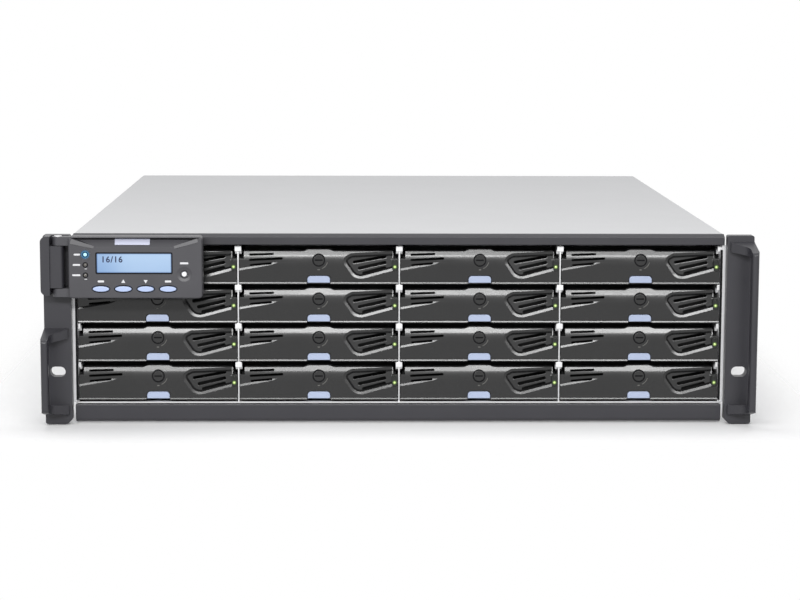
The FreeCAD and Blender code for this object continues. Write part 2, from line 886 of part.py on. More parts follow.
def hinge_bracket():
    """Outer wall and middle knuckle block that stand on the left ear."""
    outer = -rack_half
    wall_in = outer + bracket_wall
    wall_low = arm_bottom + bracket_lift
    wall = front([(outer, wall_low, bracket_round), (wall_in, wall_low, bracket_edge),
                  (wall_in, case_height, bracket_edge), (outer, case_height, bracket_round)], panel_face, 0)
    low = arm_bottom + arm_high + move_gap
    high = arm_top - arm_high - move_gap
    root = outer + past
    reach = pin_x + knuckle_r
    block_front = panel_face + bracket_front_drop
    block_back = -bracket_front_drop
    middle = plan([(root, block_front, 0), (reach, block_front, bracket_inner_round),
                   (reach, block_back, bracket_inner_round), (root, block_back, 0)], low, high)
    foot = box(root, reach, block_back - bite, 0, low, high)
    hole = rod(hinge_pin_r + pin_gap, Vector(pin_x, pin_y, arm_bottom - past),
               Vector(pin_x, pin_y, arm_top + past))
    return fuse([wall, middle, foot]).cut(hole)


def hinge_pin():
    """Pin with a low head on the upper arm."""
    head = rod(hinge_head_r, Vector(pin_x, pin_y, arm_top), Vector(pin_x, pin_y, case_height))
    return head.fuse(rod(hinge_pin_r, Vector(pin_x, pin_y, arm_bottom), Vector(pin_x, pin_y, arm_top)))


def panel_point(x, z):
    """Place on the panel's face from its lower left corner."""
    return panel_left + x, panel_bottom + z


def key_place(index):
    """Middle of a key on the panel's face."""
    return panel_point(key_left + index * key_pitch, key_low)


def lamp_places():
    """Middle of each status light on the panel's face."""
    return [panel_point(lamp_x, lamp_low + lamp * lamp_pitch) for lamp in range(lamp_count)]


def panel_arm(low):
    """Hinge arm: a round knuckle on the pin and a web back to the housing."""
    knuckle = rod(knuckle_r, Vector(pin_x, pin_y, low), Vector(pin_x, pin_y, low + arm_high))
    web = box(pin_x, panel_left + panel_wall, pin_y - knuckle_r, pin_y + knuckle_r, low, low + arm_high)
    return knuckle.fuse(web)


def wedge_fan(crest, foot_z, depth):
    """Fan-shaped outline of the recess over the display, whose flanks close in with depth."""
    flank = wedge_flank * depth / wedge_depth
    corners = [(panel_left + wedge_margin + flank, crest, 0),
               (panel_left + wedge_foot_left + flank, foot_z, 0),
               (panel_right - wedge_foot_right - flank, foot_z, 0),
               (panel_right - wedge_margin - flank, crest, 0)]
    return outline(corners, lambda p: Vector(p.x, panel_face + depth, p.y))


def panel_housing():
    """Hollow moulding with a wedge-shaped recess at its top edge, windows, key holes and hinge arms."""
    top = case_height
    shell = front(rounded(panel_left, panel_right, panel_bottom, top, panel_corner), panel_face, panel_rim)
    rim = [edge for edge in shell.Edges if all(abs(v.Y - panel_face) < pin_gap for v in edge.Vertexes)]
    shell = shell.makeFillet(panel_edge, rim)
    hollow = front(rounded(panel_left + panel_wall, panel_right - panel_wall, panel_bottom + panel_wall,
                           top - panel_wall, panel_corner / 2), panel_inner, panel_rim + past)
    shell = shell.cut(hollow)
    foot_z = top - wedge_high
    roof = top - wedge_margin
    pad_front = panel_inner - bite
    pad_back = panel_inner + wedge_depth
    pad = side([(pad_front, foot_z, 0), (panel_inner, foot_z, 0), (pad_back, roof - panel_wall, 0),
                (pad_back, roof, 0), (pad_front, roof, 0)],
               panel_left + wedge_margin, panel_right - wedge_margin)
    crest = top - wedge_top_gap
    deep = panel_face + wedge_depth
    ahead = panel_face - past
    wedge = side([(ahead, foot_z, 0), (panel_face, foot_z, 0), (deep, crest, 0), (ahead, crest, 0)],
                 panel_left, panel_right)
    fan_out = Part.makeLoft([wedge_fan(crest, foot_z, 0), wedge_fan(crest, foot_z, wedge_depth)], True, True)
    mute = Vector(*panel_point(mute_x, mute_z), 0)
    dish = Part.makeCone(mute_dish_r, mute_dish_floor_r, mute_dish_deep, Vector(mute.x, panel_face, mute.y),
                         Vector(0, 1, 0))
    shell = fuse([shell, pad, panel_arm(arm_bottom), panel_arm(arm_top - arm_high)])
    before, behind = panel_face - past, panel_inner + past
    cuts = [wedge.common(fan_out), dish, rod(hinge_pin_r + pin_gap, Vector(pin_x, pin_y, panel_bottom),
                                             Vector(pin_x, pin_y, case_height))]
    x, z = panel_point(window_left, window_low)
    cuts.append(front(rounded(x, x + window_wide, z, z + window_high, window_corner), before, behind))
    for x, z in lamp_places():
        cuts.append(rod(lamp_r + pin_gap, Vector(x, before, z), Vector(x, behind, z)))
    for index in range(len(key_names)):
        hole = stadium(*key_place(index), key_wide + 2 * move_gap, key_high + 2 * move_gap)
        cuts.append(front(hole, before, behind))
    cuts.append(rod(mute_r + move_gap, Vector(mute.x, before, mute.y), Vector(mute.x, behind, mute.y)))
    return cut(shell, cuts)


def panel_back_cover():
    """Back plate with four posts that hold the display's board."""
    inset = panel_back_inset
    plate = front(rounded(panel_left + inset, panel_right - inset, panel_bottom + inset, case_height - inset,
                          panel_corner), panel_rim, panel_rim + panel_back_thick)
    posts = []
    for x in (panel_left + post_inset, panel_right - post_inset):
        for z in (panel_bottom + post_inset, case_height - post_top_inset):
            posts.append(rod(post_r, Vector(x, board_front + board_thick, z), Vector(x, panel_rim + bite, z)))
    return fuse([plate] + posts)


def display_module():
    """Display glass in the window, its cell behind, and the board that carries it."""
    x, z = panel_point(window_left, window_low)
    glass = front(rounded(x + glass_gap, x + window_wide - glass_gap, z + glass_gap,
                          z + window_high - glass_gap, window_corner - glass_gap),
                  panel_face + glass_set_back, panel_inner + bite)
    cell = box(x - cell_side, x + window_wide + cell_side, panel_inner, board_front, z - cell_below,
               z + window_high + cell_above)
    board = box(panel_left + board_inset, panel_right - board_inset, board_front, board_front + board_thick,
                panel_bottom + board_inset, case_height - board_top_inset)
    return fuse([glass, cell, board])


def status_lights():
    """Round light pipes from the board to the panel's face."""
    return Part.Compound([rod(lamp_r, Vector(x, panel_face - lamp_proud, z), Vector(x, board_front, z))
                          for x, z in lamp_places()])


def panel_key(index):
    """Oval key cap with a flange that keeps it behind the panel."""
    x, z = key_place(index)
    cap = front(stadium(x, z, key_wide, key_high), panel_face - key_proud, key_seat + bite)
    flange = front(stadium(x, z, key_wide + 2 * key_flange, key_high + 2 * key_flange), key_seat,
                   key_seat + key_flange_thick)
    return fuse([cap, flange])


def mute_button():
    """Small round button in its dish."""
    x, z = panel_point(mute_x, mute_z)
    cap = rod(mute_r, Vector(x, panel_face - mute_proud, z), Vector(x, key_seat + bite, z))
    flange = rod(mute_r + key_flange, Vector(x, key_seat, z), Vector(x, key_seat + key_flange_thick, z))
    return fuse([cap, flange])


# Controllers

def jack_block(x0, count):
    """Row of network sockets behind the rear face, from its left end: the block and its cutters."""
    low = bay_low + jack_low
    block = box(x0, x0 + count * jack_pitch + jack_wall, case_rear - jack_deep - jack_wall, case_rear,
                low - jack_wall, low + jack_high + jack_wall)
    sockets = []
    for index in range(count):
        x = x0 + (jack_pitch + jack_wall - jack_wide) / 2 + index * jack_pitch
        sockets.append(box(x, x + jack_wide, case_rear - jack_deep, case_rear + past, low, low + jack_high))
    return block, sockets


def ejector_lever():
    """Right-hand lever: a pivot block by the side and a finger bar standing off the face."""
    outer = controller_half - lever_inset
    low = bay_low + controller_high / 2 - lever_high / 2
    root = case_rear - bite
    tip = outer - lever_long
    bar_out = case_rear + lever_reach
    bar_in = bar_out - lever_thick
    neck = outer - lever_root
    return plan([(outer, root, 0), (outer, bar_out, lever_elbow), (tip, bar_out, lever_tip_round),
                 (tip, bar_in, lever_tip_round), (neck, bar_in, lever_inner_elbow), (neck, root, 0)],
                low, low + lever_high)


def heat_sink(base):
    """Finned cooler standing on the board."""
    start = module_front + sink_start
    end = start + sink_long
    left = -sink_wide / 2
    pitch = (sink_wide - 2 * fin_inset - fin_thick) / (sink_fins - 1)
    pieces = [box(left, -left, start, end, base - bite, base + sink_base)]
    for index in range(sink_fins):
        x = left + fin_inset + index * pitch
        pieces.append(box(x, x + fin_thick, start + fin_inset, end - fin_inset, base + sink_base - past,
                          base + sink_high))
    return pieces


def controller():
    """Open sheet tray with board, cooler, network sockets, air slots and two ejector levers."""
    half = controller_half
    top = bay_low + controller_high
    tray = front([(-half, bay_low, 0), (half, bay_low, 0), (half, top, 0), (half - sheet, top, 0),
                  (half - sheet, bay_low + sheet, 0), (-half + sheet, bay_low + sheet, 0),
                  (-half + sheet, top, 0), (-half, top, 0)], module_front, case_rear - bite)
    face = box(-half, half, case_rear - face_thick, case_rear, bay_low, top)
    network, sockets = jack_block(network_left, network_jacks)
    manage, more = jack_block(manage_left, 1)
    vents = []
    for index in range(rear_vents):
        x = (index - (rear_vents - 1) / 2) * rear_vent_pitch
        slot = stadium(x, top - rear_vent_drop, rear_vent_wide, rear_vent_high)
        vents.append(front(slot, case_rear - face_thick - past, case_rear + past))
    board_top = bay_low + jack_low - jack_wall
    board = box(-half + sheet, half - sheet, module_front + board_end_gap, case_rear - face_thick,
                board_top - board_thick, board_top)
    lever = ejector_lever()
    case = fuse([tray, face, network, manage, lever, flip(lever), board] + heat_sink(board_top))
    return cut(case, sockets + more + vents)


# Power and cooling modules, built about their own middle line

def fan_frame():
    """Round duct, cross arms in front and the shaft that the rotor turns on."""
    duct = fan_r + fan_tip_gap
    centre = Vector(0, fan_front, fan_z)
    ring = rod(duct + fan_ring, centre, Vector(0, case_rear - bite, fan_z))
    ring = ring.cut(rod(duct, Vector(0, fan_front - past, fan_z), Vector(0, case_rear, fan_z)))
    reach = duct + past
    half = spider_wide / 2
    arms_back = fan_front + spider_thick
    return [ring, box(-half, half, fan_front, arms_back, fan_z - reach, fan_z + reach),
            box(-reach, reach, fan_front, arms_back, fan_z - half, fan_z + half),
            rod(fan_hub_r, centre, Vector(0, arms_back, fan_z)),
            rod(fan_shaft_r, centre, Vector(0, shaft_end, fan_z))]


def guard_cuts():
    """Level slots in the rear face over the fan, each as long as the fan's circle there."""
    pitch = 2 * fan_r / (guard_slots + bite)
    half_high = pitch * (1 - guard_bar_share) / 2
    cuts = []
    for index in range(guard_slots):
        middle = (index - (guard_slots - 1) / 2) * pitch
        reach = math.sqrt(fan_r ** 2 - (abs(middle) + half_high) ** 2)
        cuts.append(box(-reach, reach, case_rear - face_thick - past, case_rear + past,
                        fan_z + middle - half_high, fan_z + middle + half_high))
    return cuts


def power_inlet():
    """Mains inlet: its body, the recess in it and the three blades."""
    wide, high = inlet_wide / 2, inlet_high / 2
    outer_wide, outer_high = wide + inlet_wall, high + inlet_wall
    floor = case_rear - inlet_deep
    body = box(inlet_x - outer_wide, inlet_x + outer_wide, floor - inlet_wall, case_rear + inlet_proud,
               inlet_z - outer_high, inlet_z + outer_high)
    recess = front([(inlet_x - wide, inlet_z - high, inlet_low_round),
                    (inlet_x + wide, inlet_z - high, inlet_low_round),
                    (inlet_x + wide, inlet_z + high, inlet_top_round),
                    (inlet_x - wide, inlet_z + high, inlet_top_round)], floor, case_rear + inlet_proud + past)
    blades = []
    for x, z in [(-blade_spread, -blade_drop), (blade_spread, -blade_drop), (0, blade_lift)]:
        left, low = inlet_x + x - blade_thick / 2, inlet_z + z - blade_wide / 2
        blades.append(box(left, left + blade_thick, floor - past, case_rear - blade_short, low,
                          low + blade_wide))
    return body, recess, blades


def switch_well_parts():
    """Well for the rocker switch: its body, the hole in it and the trunnions across it."""
    half, tall = switch_wide / 2 + move_gap, switch_high / 2 + move_gap
    hole = box(switch_x - half, switch_x + half, case_rear - switch_well, case_rear + 2 * switch_proud,
               inlet_z - tall, inlet_z + tall)
    out, rise = half + switch_wall, tall + switch_wall
    floor = case_rear - switch_well - switch_wall
    body = box(switch_x - out, switch_x + out, floor, case_rear + switch_proud, inlet_z - rise,
               inlet_z + rise)
    trunnions = rod(trunnion_r, Vector(switch_x - half - bite, switch_pivot, inlet_z),
                    Vector(switch_x + half + bite, switch_pivot, inlet_z))
    return body, hole, trunnions


def pull_handle():
    """Bow handle that stands off the rear face."""
    out, inner = pull_wide / 2, pull_wide / 2 - pull_bar
    root = case_rear - bite
    crown = case_rear + pull_reach
    under = crown - pull_bar
    return plan([(-out, root, 0), (-out, crown, pull_elbow), (out, crown, pull_elbow), (out, root, 0),
                 (inner, root, 0), (inner, under, pull_inner_elbow), (-inner, under, pull_inner_elbow),
                 (-inner, root, 0)], pull_z - pull_bar / 2, pull_z + pull_bar / 2)


def power_module():
    """Sheet box with the supply block below, the fan above, inlet, switch well and handle."""
    half = power_wide / 2
    shell = box(-half, half, module_front, case_rear, bay_low, bay_high)
    hollow = box(-half + sheet, half - sheet, module_front - past, case_rear - face_thick, bay_low + sheet,
                 bay_high - sheet)
    shell = cut(shell, [hollow] + guard_cuts())
    supply = box(-half + sheet, half - sheet, module_front + supply_front_gap, case_rear - supply_rear_gap,
                 bay_low + sheet, bay_low + supply_high - supply_drop)
    inlet, recess, blades = power_inlet()
    well, hole, trunnions = switch_well_parts()
    shell = fuse([shell, supply, inlet, well, pull_handle()] + fan_frame())
    return fuse([cut(shell, [recess, hole]), trunnions] + blades)


def fan_rotor():
    """Axial rotor: hub with pitched blades, bored for the shaft."""
    hub_front = fan_front + spider_thick + move_gap
    hub = rod(fan_hub_r, Vector(0, hub_front, fan_z), Vector(0, rotor_back, fan_z))
    chord = (rotor_back - hub_front) * fan_chord_share
    middle = (hub_front + rotor_back) / 2
    blade = box(-fan_blade_thick / 2, fan_blade_thick / 2, -chord / 2, chord / 2, fan_hub_r - past, fan_r)
    blade.rotate(Vector(0, 0, 0), Vector(0, 0, 1), fan_pitch)
    sweep = rod(fan_r, Vector(0, bite - chord / 2, 0), Vector(0, chord / 2 - bite, 0))
    blade = blade.common(sweep)
    blades = []
    for index in range(fan_blades):
        turned = blade.copy()
        turned.rotate(Vector(0, 0, 0), Vector(0, 1, 0), 360.0 * index / fan_blades)
        blades.append(at(turned, y=middle, z=fan_z))
    bore = rod(fan_shaft_r + pin_gap, Vector(0, hub_front - past, fan_z),
               Vector(0, shaft_end + move_gap, fan_z))
    return fuse([hub] + blades).cut(bore)


def power_switch():
    """Rocker with a shallow V face, tilted to one side on its trunnions."""
    tall = switch_high / 2
    face = switch_pivot + switch_tip
    tail, tail_tall = switch_pivot - switch_tail, tall * switch_tail_share
    rocker = side([(tail, -tail_tall, 0), (face, -tall, switch_edge), (face - switch_dip, 0, 0),
                   (face, tall, switch_edge), (tail, tail_tall, 0)],
                  switch_x - switch_wide / 2, switch_x + switch_wide / 2)
    bore = rod(trunnion_r + pin_gap, Vector(switch_x - switch_wide, switch_pivot, 0),
               Vector(switch_x + switch_wide, switch_pivot, 0))
    rocker = at(rocker.cut(bore), z=inlet_z)
    rocker.rotate(Vector(switch_x, switch_pivot, inlet_z), Vector(1, 0, 0), switch_tilt)
    return rocker


save("chassis_tub", chassis_tub())
save("top_cover", top_cover())
save("cover_screws", cover_screws())
save("top_trim", trim_bar(trim_top_z, case_height, True))
save("bottom_trim", trim_bar(sheet, trim_low_z, False))
save("right_ear", ear(handle_high_right))
save("left_ear", flip(ear(handle_high_left)))
save("drive_cage", drive_cage())
save("midplane_board", midplane_board())

tray = Part.Compound([tray_frame(), drive()])
flap = Part.Compound([flap_shell(), release_button()])
for column in range(columns):
    for row in range(rows):
        place = (bay_x(column), flap_face, bay_z(row))
        save("drive_tray_%d_%d" % (row + 1, column + 1), at(tray, *place))
        save("tray_flap_%d_%d" % (row + 1, column + 1), at(flap, *place))

save("hinge_bracket", hinge_bracket())
save("hinge_pin", hinge_pin())
save("panel_housing", panel_housing())
save("panel_back_cover", panel_back_cover())
save("display_module", display_module())
save("status_lights", status_lights())
for index, name in enumerate(key_names):
    save(name, panel_key(index))
save("mute_button", mute_button())

unit = controller()
save("controller_lower", unit)
save("controller_upper", at(unit, z=upper_shift))
supply, rotor, rocker = power_module(), fan_rotor(), power_switch()
for name, x in [("left", -power_x), ("right", power_x)]:
    save("power_module_" + name, at(supply, x=x))
    save("fan_rotor_" + name, at(rotor, x=x))
    save("power_switch_" + name, at(rocker, x=x))
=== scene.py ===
"""Dressed model of a rack-mount storage array: case, ears, sixteen hinged tray flaps and a control panel."""
import json
import logging
import math
from dataclasses import dataclass, field
from enum import Enum
from typing import Callable, List, Optional, Sequence, Tuple, Union

import bpy
from mathutils import Matrix, Vector


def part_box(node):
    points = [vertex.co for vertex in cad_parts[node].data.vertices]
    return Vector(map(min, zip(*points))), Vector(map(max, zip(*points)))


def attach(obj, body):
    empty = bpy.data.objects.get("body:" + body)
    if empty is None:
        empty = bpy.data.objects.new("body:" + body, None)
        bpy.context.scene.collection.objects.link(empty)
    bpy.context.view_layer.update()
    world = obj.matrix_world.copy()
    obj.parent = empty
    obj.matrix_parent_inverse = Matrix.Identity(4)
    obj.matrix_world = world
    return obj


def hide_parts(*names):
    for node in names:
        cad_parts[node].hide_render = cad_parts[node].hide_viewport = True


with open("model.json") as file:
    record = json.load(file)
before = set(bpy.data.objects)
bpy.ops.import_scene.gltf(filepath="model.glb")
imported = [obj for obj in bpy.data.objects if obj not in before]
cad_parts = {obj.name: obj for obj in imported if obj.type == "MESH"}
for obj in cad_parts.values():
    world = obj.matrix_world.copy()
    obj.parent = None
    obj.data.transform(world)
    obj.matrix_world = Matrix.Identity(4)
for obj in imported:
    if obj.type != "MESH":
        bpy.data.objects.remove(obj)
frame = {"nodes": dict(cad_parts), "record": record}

log = logging.getLogger("storage_array")

MM = 0.001
ROWS = 4
COLUMNS = 4
KEYS = ("key_back", "key_up", "key_down", "key_enter")
PANEL = "control_panel"

# Share of its direction from which an edge or a face counts as lying along an axis.
ALONG = 0.9
# Distance within which points are merged, and within which they count as level.
MERGE = 0.002 * MM
NEAR = 0.02 * MM
# How far in millimetres a cutter reaches past what it cuts, and a zone past every piece.
OVER = 1.0
BEYOND = 1000.0

Color = Tuple[float, float, float]
Pair = Tuple[float, float]
Test = Callable[[Vector, Vector], bool]
Material = bpy.types.Material


def mm(x: float, y: float, z: float) -> Vector:
    """A point or a move given in millimetres."""
    return Vector((x, y, z)) * MM


def bays() -> List[str]:
    """Row and column of every drive bay, as in the names of its nodes."""
    return ["%d_%d" % (row, column) for row in range(1, ROWS + 1) for column in range(1, COLUMNS + 1)]


def anywhere(place: Vector, way: Vector) -> bool:
    """Picks every element of a mesh."""
    return True


def front_to_back(place: Vector, way: Vector) -> bool:
    """Picks the edges that run from the front to the back."""
    return abs(way.y) > ALONG


class Pick(Enum):
    """Kind of mesh element that an edit acts on."""

    VERTEX = 0
    EDGE = 1
    FACE = 2


class Combine(Enum):
    """How a second piece is worked into the first."""

    ADD = "UNION"
    CUT = "DIFFERENCE"


class Axis(Enum):
    """Direction of a line, rod or brushed grain."""

    X = 0
    Y = 1
    Z = 2


class Value:
    """An output socket that takes part in Python arithmetic by adding Math nodes."""

    def __init__(self, nodes: "Nodes", socket: bpy.types.NodeSocket) -> None:
        """Keeps the socket and the nodes that it belongs to."""
        self.nodes = nodes
        self.socket = socket

    def _math(self, operation: str, first: "Number", second: "Number") -> "Value":
        """Adds one Math node."""
        return self.nodes.node("ShaderNodeMath", {"operation": operation}, {0: first, 1: second})

    def __add__(self, other: "Number") -> "Value":
        """Sum."""
        return self._math("ADD", self, other)

    __radd__ = __add__

    def __sub__(self, other: "Number") -> "Value":
        """Difference."""
        return self._math("SUBTRACT", self, other)

    def __rsub__(self, other: "Number") -> "Value":
        """Difference from a number."""
        return self._math("SUBTRACT", other, self)

    def __mul__(self, other: "Number") -> "Value":
        """Product."""
        return self._math("MULTIPLY", self, other)

    __rmul__ = __mul__

    def __gt__(self, other: "Number") -> "Value":
        """One where this value is the larger."""
        return self._math("GREATER_THAN", self, other)

    def __lt__(self, other: "Number") -> "Value":
        """One where this value is the smaller."""
        return self._math("LESS_THAN", self, other)

    def either(self, other: "Number") -> "Value":
        """The larger of two values."""
        return self._math("MAXIMUM", self, other)

    def ramp(self, start: float, end: float) -> "Value":
        """Smooth rise from 0 at start to 1 at end."""
        return self.nodes.node("ShaderNodeMapRange", {"interpolation_type": "SMOOTHSTEP"},
                               {"Value": self, "From Min": start, "From Max": end})


Number = Union[float, Value]


class Nodes:
    """A node tree that gets all its nodes from one method."""

    def __init__(self, tree: bpy.types.NodeTree) -> None:
        """Takes over a tree and empties it."""
        self.tree = tree
        tree.nodes.clear()

    def node(self, kind: str, settings: Optional[dict] = None, inputs: Optional[dict] = None,
             output: Union[int, str] = 0) -> Value:
        """Adds any node.

        Args:
            kind: The node's type.
            settings: Properties that are set first.
            inputs: Numbers, colours or links of its sockets.
            output: Which output to hand back.

        Returns:
            The chosen output.
        """
        node = self.tree.nodes.new(kind)
        for key, value in (settings or {}).items():
            setattr(node, key, value)
        for key, value in (inputs or {}).items():
            self.feed(node.inputs[key], value)
        return Value(self, node.outputs[output])

    def feed(self, socket: bpy.types.NodeSocket, value: Union[Number, Sequence[float]]) -> None:
        """Links a value to a socket, or sets the socket's own number or colour.

        Args:
            socket: The input socket.
            value: What it gets; a colour may leave out its alpha.
        """
        if isinstance(value, Value):
            self.tree.links.new(value.socket, socket)
        elif isinstance(value, (int, float)):
            socket.default_value = value
        else:
            wide = len(socket.default_value)
            socket.default_value = (*value, 1.0) if wide == 4 and len(value) == 3 else tuple(value)


class Shader(Nodes):
    """Node tree of one material that ends in a Principled shader."""

    # Colour sockets of a Mix node, which has others of the same names for numbers and vectors.
    MIX_FIRST, MIX_SECOND, MIX_RESULT = 6, 7, 2

    def __init__(self, name: str) -> None:
        """Starts an empty material.

        Args:
            name: The material's name.
        """
        self.material = bpy.data.materials.new(name)
        self.material.use_nodes = True
        super().__init__(self.material.node_tree)
        self.surface = self.tree.nodes.new("ShaderNodeBsdfPrincipled")
        output = self.tree.nodes.new("ShaderNodeOutputMaterial")
        self.tree.links.new(self.surface.outputs[0], output.inputs["Surface"])

    def finish(self, sockets: dict) -> Material:
        """Feeds the Principled shader's sockets.

        Args:
            sockets: Numbers, colours or links by the sockets' names.

        Returns:
            The finished material.
        """
        for name, value in sockets.items():
            self.feed(self.surface.inputs[name], value)
        return self.material

    def place(self) -> Value:
        """Object coordinates in metres."""
        return self.node("ShaderNodeTexCoord", output="Object")

    def along(self, axis: Axis) -> Value:
        """One of the object coordinates."""
        return self.node("ShaderNodeSeparateXYZ", None, {0: self.place()}, axis.value)

    def noise(self, size: float, detail: float = 2.0, stretch: Sequence[float] = (1.0, 1.0, 1.0)) -> Value:
        """Soft noise.

        Args:
            size: Rough size of a blotch in metres.
            detail: Octaves of finer noise.
            stretch: Scale on each axis, for streaks.

        Returns:
            The noise from 0 to 1.
        """
        spot = self.node("ShaderNodeMapping", None, {"Vector": self.place(), "Scale": stretch})
        return self.node("ShaderNodeTexNoise", None, {"Vector": spot, "Scale": 1.0 / size, "Detail": detail})

    def streaks(self, grain: Axis, size: float = 0.5 * MM, drawn: float = 0.02) -> Value:
        """Fine noise drawn out along the grain of a sheet."""
        return self.noise(size, 2.0, tuple(drawn if axis is grain else 1.0 for axis in Axis))

    def blend(self, share: Number, first: Union[Value, Color], second: Union[Value, Color]) -> Value:
        """Colour mixed from two by a share."""
        inputs = {0: share, self.MIX_FIRST: first, self.MIX_SECOND: second}
        return self.node("ShaderNodeMix", {"data_type": "RGBA"}, inputs, self.MIX_RESULT)

    def tones(self, share: Number, color: Color, dark: float, light: float) -> Value:
        """Colour that changes by a share from a darker to a lighter tone of one colour."""
        return self.blend(share, shade(color, dark), shade(color, light))

    def bump(self, height: Number, depth: float) -> Value:
        """Normal bent by a height from 0 to 1 over a depth in metres."""
        return self.node("ShaderNodeBump", None, {"Height": height, "Distance": depth, "Strength": 1.0})


def shade(color: Color, factor: float) -> Color:
    """A colour made lighter or darker."""
    return tuple(min(1.0, part * factor) for part in color)


@dataclass(frozen=True)
class MouldedPlastic:
    """Moulded plastic with a fine eroded grain and faint mottling."""

    name: str
    color: Color
    roughness: float = 0.4
    grain: float = 0.5 * MM
    depth: float = 0.012 * MM
    mottle: float = 0.14
    specular: float = 0.5
    cloud: float = 22 * MM
    speck_share: float = 0.35

    def make(self) -> Material:
        """Builds the material.

        Returns:
            The material.
        """
        shader = Shader(self.name)
        cloud = shader.noise(self.cloud, 3.0)
        speck = shader.noise(self.grain, 2.0)
        tone = shader.tones(cloud, self.color, 1 - self.mottle, 1 + self.mottle)
        color = shader.blend(speck * self.speck_share, tone, shade(self.color, 1 + 2 * self.mottle))
        return shader.finish({"Base Color": color, "Roughness": self.roughness - 0.05 + 0.1 * cloud,
                              "Specular IOR Level": self.specular, "Normal": shader.bump(speck, self.depth)})


@dataclass(frozen=True)
class SheetMetal:
    """Rolled or plated sheet with streaks along one direction and faint cloudy plating."""

    name: str
    color: Color
    roughness: float = 0.4
    grain: Axis = Axis.X
    streak: float = 0.42
    cloud: float = 0.3
    depth: float = 0.004 * MM
    metallic: float = 1.0

    def make(self) -> Material:
        """Builds the material.

        Returns:
            The material.
        """
        shader = Shader(self.name)
        streak = shader.streaks(self.grain)
        cloud = shader.noise(30 * MM, 4.0)
        color = shader.tones(streak * self.streak + cloud * self.cloud, self.color, 0.9, 1.08)
        return shader.finish({"Base Color": color, "Metallic": self.metallic,
                              "Roughness": self.roughness - 0.08 + 0.1 * streak + 0.06 * cloud,
                              "Normal": shader.bump(streak, self.depth)})


@dataclass(frozen=True)
class Zone:
    """A block of space in which a mixed piece has another finish."""

    low: Vector
    high: Vector
    color: Color
    roughness: float = 0.45
    metallic: float = 0.0

    def mask(self, axes: Sequence[Value]) -> Value:
        """Tells the block from the rest of the piece.

        Args:
            axes: The three object coordinates.

        Returns:
            One inside the block, zero outside.
        """
        inside: Number = 1.0
        for value, low, high in zip(axes, self.low, self.high):
            inside = (value > low) * (value < high) * inside
        return inside


@dataclass(frozen=True)
class ZonedMetal:
    """Sheet metal piece with moulded or painted parts on it, told apart by their place."""

    name: str
    color: Color
    zones: Tuple[Zone, ...]
    roughness: float = 0.4
    grain: Axis = Axis.X
    metallic: float = 0.35
    depth: float = 0.004 * MM
    speck: float = 0.6 * MM

    def make(self) -> Material:
        """Builds the material.

        Returns:
            The material.
        """
        shader = Shader(self.name)
        streak = shader.streaks(self.grain)
        speck = shader.noise(self.speck, 2.0)
        axes = [shader.along(axis) for axis in Axis]
        color = shader.tones(streak, self.color, 0.9, 1.08)
        rough = self.roughness - 0.06 + 0.12 * streak
        metallic: Number = self.metallic
        for zone in self.zones:
            mask = zone.mask(axes)
            color = shader.blend(mask, color, shader.tones(speck, zone.color, 0.85, 1.2))
            rough = rough + mask * (zone.roughness - rough)
            metallic = metallic + mask * (zone.metallic - metallic)
        return shader.finish({"Base Color": color, "Roughness": rough, "Metallic": metallic,
                              "Normal": shader.bump(streak, self.depth)})


@dataclass(frozen=True)
class Lens:
    """Clear or lit lamp lens with a bright core."""

    name: str
    color: Color
    glow: Color = (0.0, 0.0, 0.0)
    strength: float = 0.0
    ripple: float = 0.4 * MM

    def make(self) -> Material:
        """Builds the material.

        Returns:
            The material.
        """
        shader = Shader(self.name)
        ripple = shader.noise(self.ripple, 1.0)
        return shader.finish({"Base Color": shader.tones(ripple, self.color, 0.85, 1.15),
                              "Roughness": 0.12 + 0.08 * ripple, "Coat Weight": 0.6,
                              "Emission Color": shader.tones(ripple, self.glow, 0.8, 1.0),
                              "Emission Strength": self.strength})


@dataclass(frozen=True)
class Backlight:
    """Backlit display glass: paler towards one end, darker at its rim."""

    name: str
    near: Color
    far: Color
    rim: Color
    low: Vector
    high: Vector
    edge: float = 1.3 * MM
    cloud: float = 9 * MM
    strength: float = 0.86

    def make(self) -> Material:
        """Builds the material.

        Returns:
            The material.
        """
        shader = Shader(self.name)
        x, z = shader.along(Axis.X), shader.along(Axis.Z)
        low, high, edge = self.low, self.high, self.edge
        rise = z.ramp(low.z, high.z)
        side = x.ramp(low.x, (low.x + high.x) / 2)
        lit = shader.blend(rise * 0.25 + side * 0.65 + shader.noise(self.cloud) * 0.15, self.near, self.far)
        inside = (x.ramp(low.x, low.x + edge) * (1 - x.ramp(high.x - edge, high.x))
                  * z.ramp(low.z, low.z + edge) * (1 - z.ramp(high.z - edge, high.z)))
        glass = shader.blend(inside, shade(self.rim, 0.3), shade(self.near, 0.25))
        return shader.finish({"Base Color": glass, "Roughness": 0.16 + 0.05 * rise,
                              "Emission Color": shader.blend(inside, self.rim, lit),
                              "Emission Strength": self.strength})


@dataclass(frozen=True)
class Halo:
    """Soft ring of light spilled on the panel round a lit lamp."""

    name: str
    color: Color
    centre: Vector
    radius: float
    core: float = 0.25
    strength: float = 0.8
    cover: float = 0.75

    def make(self) -> Material:
        """Builds the material.

        Returns:
            The material.
        """
        shader = Shader(self.name)
        away = shader.node("ShaderNodeVectorMath", {"operation": "DISTANCE"},
                           {0: shader.place(), 1: self.centre}, "Value")
        fade = 1 - away.ramp(self.core * self.radius, self.radius)
        return shader.finish({"Base Color": (0.0, 0.0, 0.0), "Roughness": 0.6,
                              "Emission Color": shader.tones(fade, self.color, 0.5, 1.0),
                              "Emission Strength": self.strength, "Alpha": fade * fade * self.cover})


